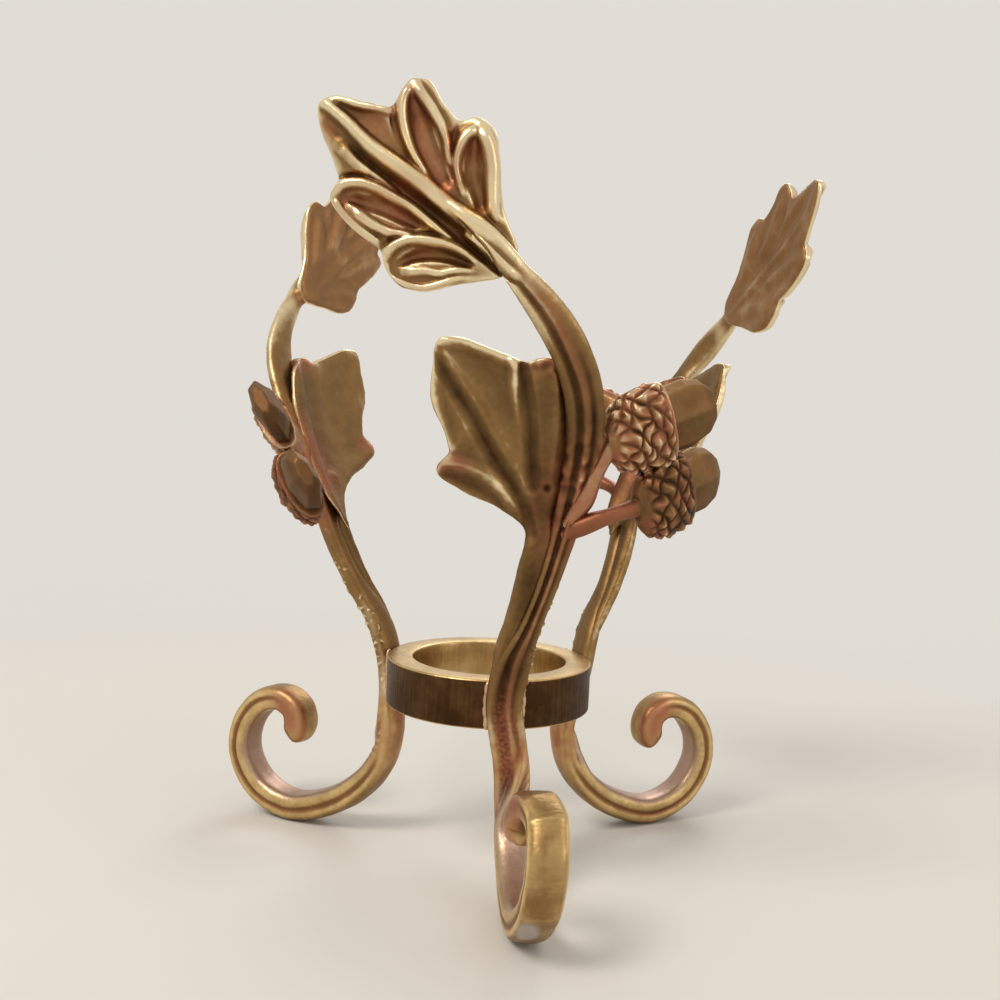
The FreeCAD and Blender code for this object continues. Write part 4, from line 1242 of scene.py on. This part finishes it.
class OBJECT_OT_candle_ring_acorns(bpy.types.Operator):
    """Make the flattened acorns: scaly cups on thin stalks, and faceted nuts"""
    bl_idname = "object.candle_ring_acorns"
    bl_label = "Acorns"

    def execute(self, context):
        for arm, angle in ARM_ANGLES.items():
            for which in ACORNS:
                label = arm + "_" + which
                acorn = arm + "_acorn_" + which
                place_piece(cup_mesh(which, arm), label + "_scaly_cup", angle, "cup", acorn + "_cup")
                place_piece(nut_mesh(which, arm), label + "_faceted_nut", angle, "nut", acorn + "_nut")
        return {"FINISHED"}


class OBJECT_OT_candle_ring_braze(bpy.types.Operator):
    """Make the lumps of filler where the arms stand against the ring"""
    bl_idname = "object.candle_ring_braze"
    bl_label = "Braze seams"

    def execute(self, context):
        for arm, angle in ARM_ANGLES.items():
            place_piece(ring_braze_mesh(), arm + "_ring_seam", angle, "braze", arm + "_ring_braze")
        return {"FINISHED"}


class OBJECT_OT_candle_ring_stage(bpy.types.Operator):
    """Make the floor, the lights and the camera at the photograph's angle"""
    bl_idname = "object.candle_ring_stage"
    bl_label = "Stage"

    def execute(self, context):
        make_floor(context)
        make_lights(context)
        make_camera(context)
        context.scene.view_settings.view_transform = "Standard"
        return {"FINISHED"}


def seen_rays(tree):
    """1 for rays that show the backdrop: the camera's own, and those that metal or glass send on."""
    path = node(tree, "ShaderNodeLightPath")
    both = node(tree, "ShaderNodeMath", {"operation": "MAXIMUM"}, i0=path.outputs["Is Camera Ray"],
                i1=path.outputs["Is Glossy Ray"])
    return node(tree, "ShaderNodeMath", {"operation": "MAXIMUM"}, i0=both.outputs[0],
                i1=path.outputs["Is Transmission Ray"]).outputs[0]


def matt_paint(colour):
    """Matt pale paint that takes the object's shadow and runs out into the plain backdrop."""
    material = bpy.data.materials.new("matt_pale_paint")
    material.use_nodes = True
    tree = material.node_tree
    tree.nodes.clear()
    paint = node(tree, "ShaderNodeBsdfPrincipled", {"Base Color": colour, "Roughness": 0.9,
                                                    "Specular IOR Level": 0.1}).outputs[0]
    far = node(tree, "ShaderNodeEmission", {"Color": linear(BACKDROP), "Strength": 1.0}).outputs[0]
    place = node(tree, "ShaderNodeTexCoord").outputs["Object"]
    apart = node(tree, "ShaderNodeVectorMath", {"operation": "LENGTH"}, i0=place).outputs["Value"]
    fade = node(tree, "ShaderNodeMapRange", {"interpolation_type": "SMOOTHSTEP", "From Min": FLOOR_FADE[0],
                                             "From Max": FLOOR_FADE[1]}, Value=apart).outputs[0]
    share = node(tree, "ShaderNodeMath", {"operation": "MULTIPLY"}, i0=fade, i1=seen_rays(tree)).outputs[0]
    mixed = node(tree, "ShaderNodeMixShader", None, i0=share, i1=paint, i2=far).outputs[0]
    node(tree, "ShaderNodeOutputMaterial", None, Surface=mixed)
    return material


def make_floor(context):
    sizes = context.scene.candle_ring_sizes
    bm = bmesh.new()
    bmesh.ops.create_grid(bm, x_segments=1, y_segments=1, size=sizes.floor / 2)
    bmesh.ops.translate(bm, verts=bm.verts, vec=(0, 0, -LEG_DROP * MM))
    floor = bpy.data.objects.new("pale_floor", mesh_of(bm, "pale_floor"))
    context.scene.collection.objects.link(floor)
    floor.data.materials.append(matt_paint(tuple(context.scene.candle_ring_finish.floor) + (1,)))


def make_lights(context):
    world = bpy.data.worlds.new("pale_room")
    context.scene.world = world
    world.use_nodes = True
    tree = world.node_tree
    tree.nodes.clear()
    room = node(tree, "ShaderNodeBackground", {"Color": linear(ROOM), "Strength": 0.75}).outputs[0]
    seen = node(tree, "ShaderNodeBackground", {"Color": linear(BACKDROP), "Strength": 1.0}).outputs[0]
    mixed = node(tree, "ShaderNodeMixShader", None, i0=seen_rays(tree), i1=room, i2=seen).outputs[0]
    node(tree, "ShaderNodeOutputWorld", None, Surface=mixed)
    for name, place, size, power, colour in LAMPS:
        lamp = bpy.data.lights.new(name, "AREA")
        lamp.shape = "DISK"
        lamp.size = size
        lamp.energy = power
        lamp.color = linear(colour)[:3]
        holder = bpy.data.objects.new(name, lamp)
        context.scene.collection.objects.link(holder)
        holder.location = place
        aim = Vector(LAMP_TARGET) - Vector(place)
        holder.rotation_euler = aim.to_track_quat("-Z", "Y").to_euler()


def make_camera(context):
    lens = bpy.data.cameras.new("photo_camera")
    lens.sensor_width = SENSOR_WIDTH
    lens.lens = PHOTO_FOCUS * SENSOR_WIDTH / PHOTO_WIDTH
    lens.clip_start = 0.01
    holder = bpy.data.objects.new("photo_camera", lens)
    context.scene.collection.objects.link(holder)
    right = Vector(CAMERA_RIGHT).normalized()
    forward = Vector(CAMERA_FORWARD).normalized()
    up = right.cross(forward).normalized()
    turn = Matrix((right, up, -forward)).transposed()
    holder.matrix_world = Matrix.Translation(Vector(CAMERA_PLACE) * MM) @ turn.to_4x4()
    context.scene.camera = holder


class VIEW3D_PT_candle_ring(bpy.types.Panel):
    """Lists the pieces of the candle ring and their sizes and colours"""
    bl_idname = "VIEW3D_PT_candle_ring"
    bl_label = "Candle Ring"
    bl_space_type = "VIEW_3D"
    bl_region_type = "UI"
    bl_category = "Candle Ring"

    def draw(self, context):
        for group in (context.scene.candle_ring_sizes, context.scene.candle_ring_finish):
            for key in group.__annotations__:
                self.layout.prop(group, key)
        for operator in OPERATORS:
            self.layout.operator(operator.bl_idname)


OPERATORS = (OBJECT_OT_candle_ring_body, OBJECT_OT_candle_ring_bars,
             OBJECT_OT_candle_ring_upper_leaves, OBJECT_OT_candle_ring_lower_leaves,
             OBJECT_OT_candle_ring_acorns, OBJECT_OT_candle_ring_braze, OBJECT_OT_candle_ring_stage)
CLASSES = (CandleRingSizes, CandleRingFinish) + OPERATORS + (VIEW3D_PT_candle_ring,)


def register():
    for item in CLASSES:
        bpy.utils.register_class(item)
    bpy.types.Scene.candle_ring_sizes = bpy.props.PointerProperty(type=CandleRingSizes)
    bpy.types.Scene.candle_ring_finish = bpy.props.PointerProperty(type=CandleRingFinish)


def unregister():
    del bpy.types.Scene.candle_ring_finish
    del bpy.types.Scene.candle_ring_sizes
    for item in reversed(CLASSES):
        bpy.utils.unregister_class(item)


def main():
    register()
    bpy.ops.object.candle_ring_stage()
    bpy.ops.object.candle_ring_body()
    bpy.ops.object.candle_ring_bars()
    bpy.ops.object.candle_ring_upper_leaves()
    bpy.ops.object.candle_ring_lower_leaves()
    bpy.ops.object.candle_ring_acorns()
    bpy.ops.object.candle_ring_braze()


if __name__ == "__main__":
    main()
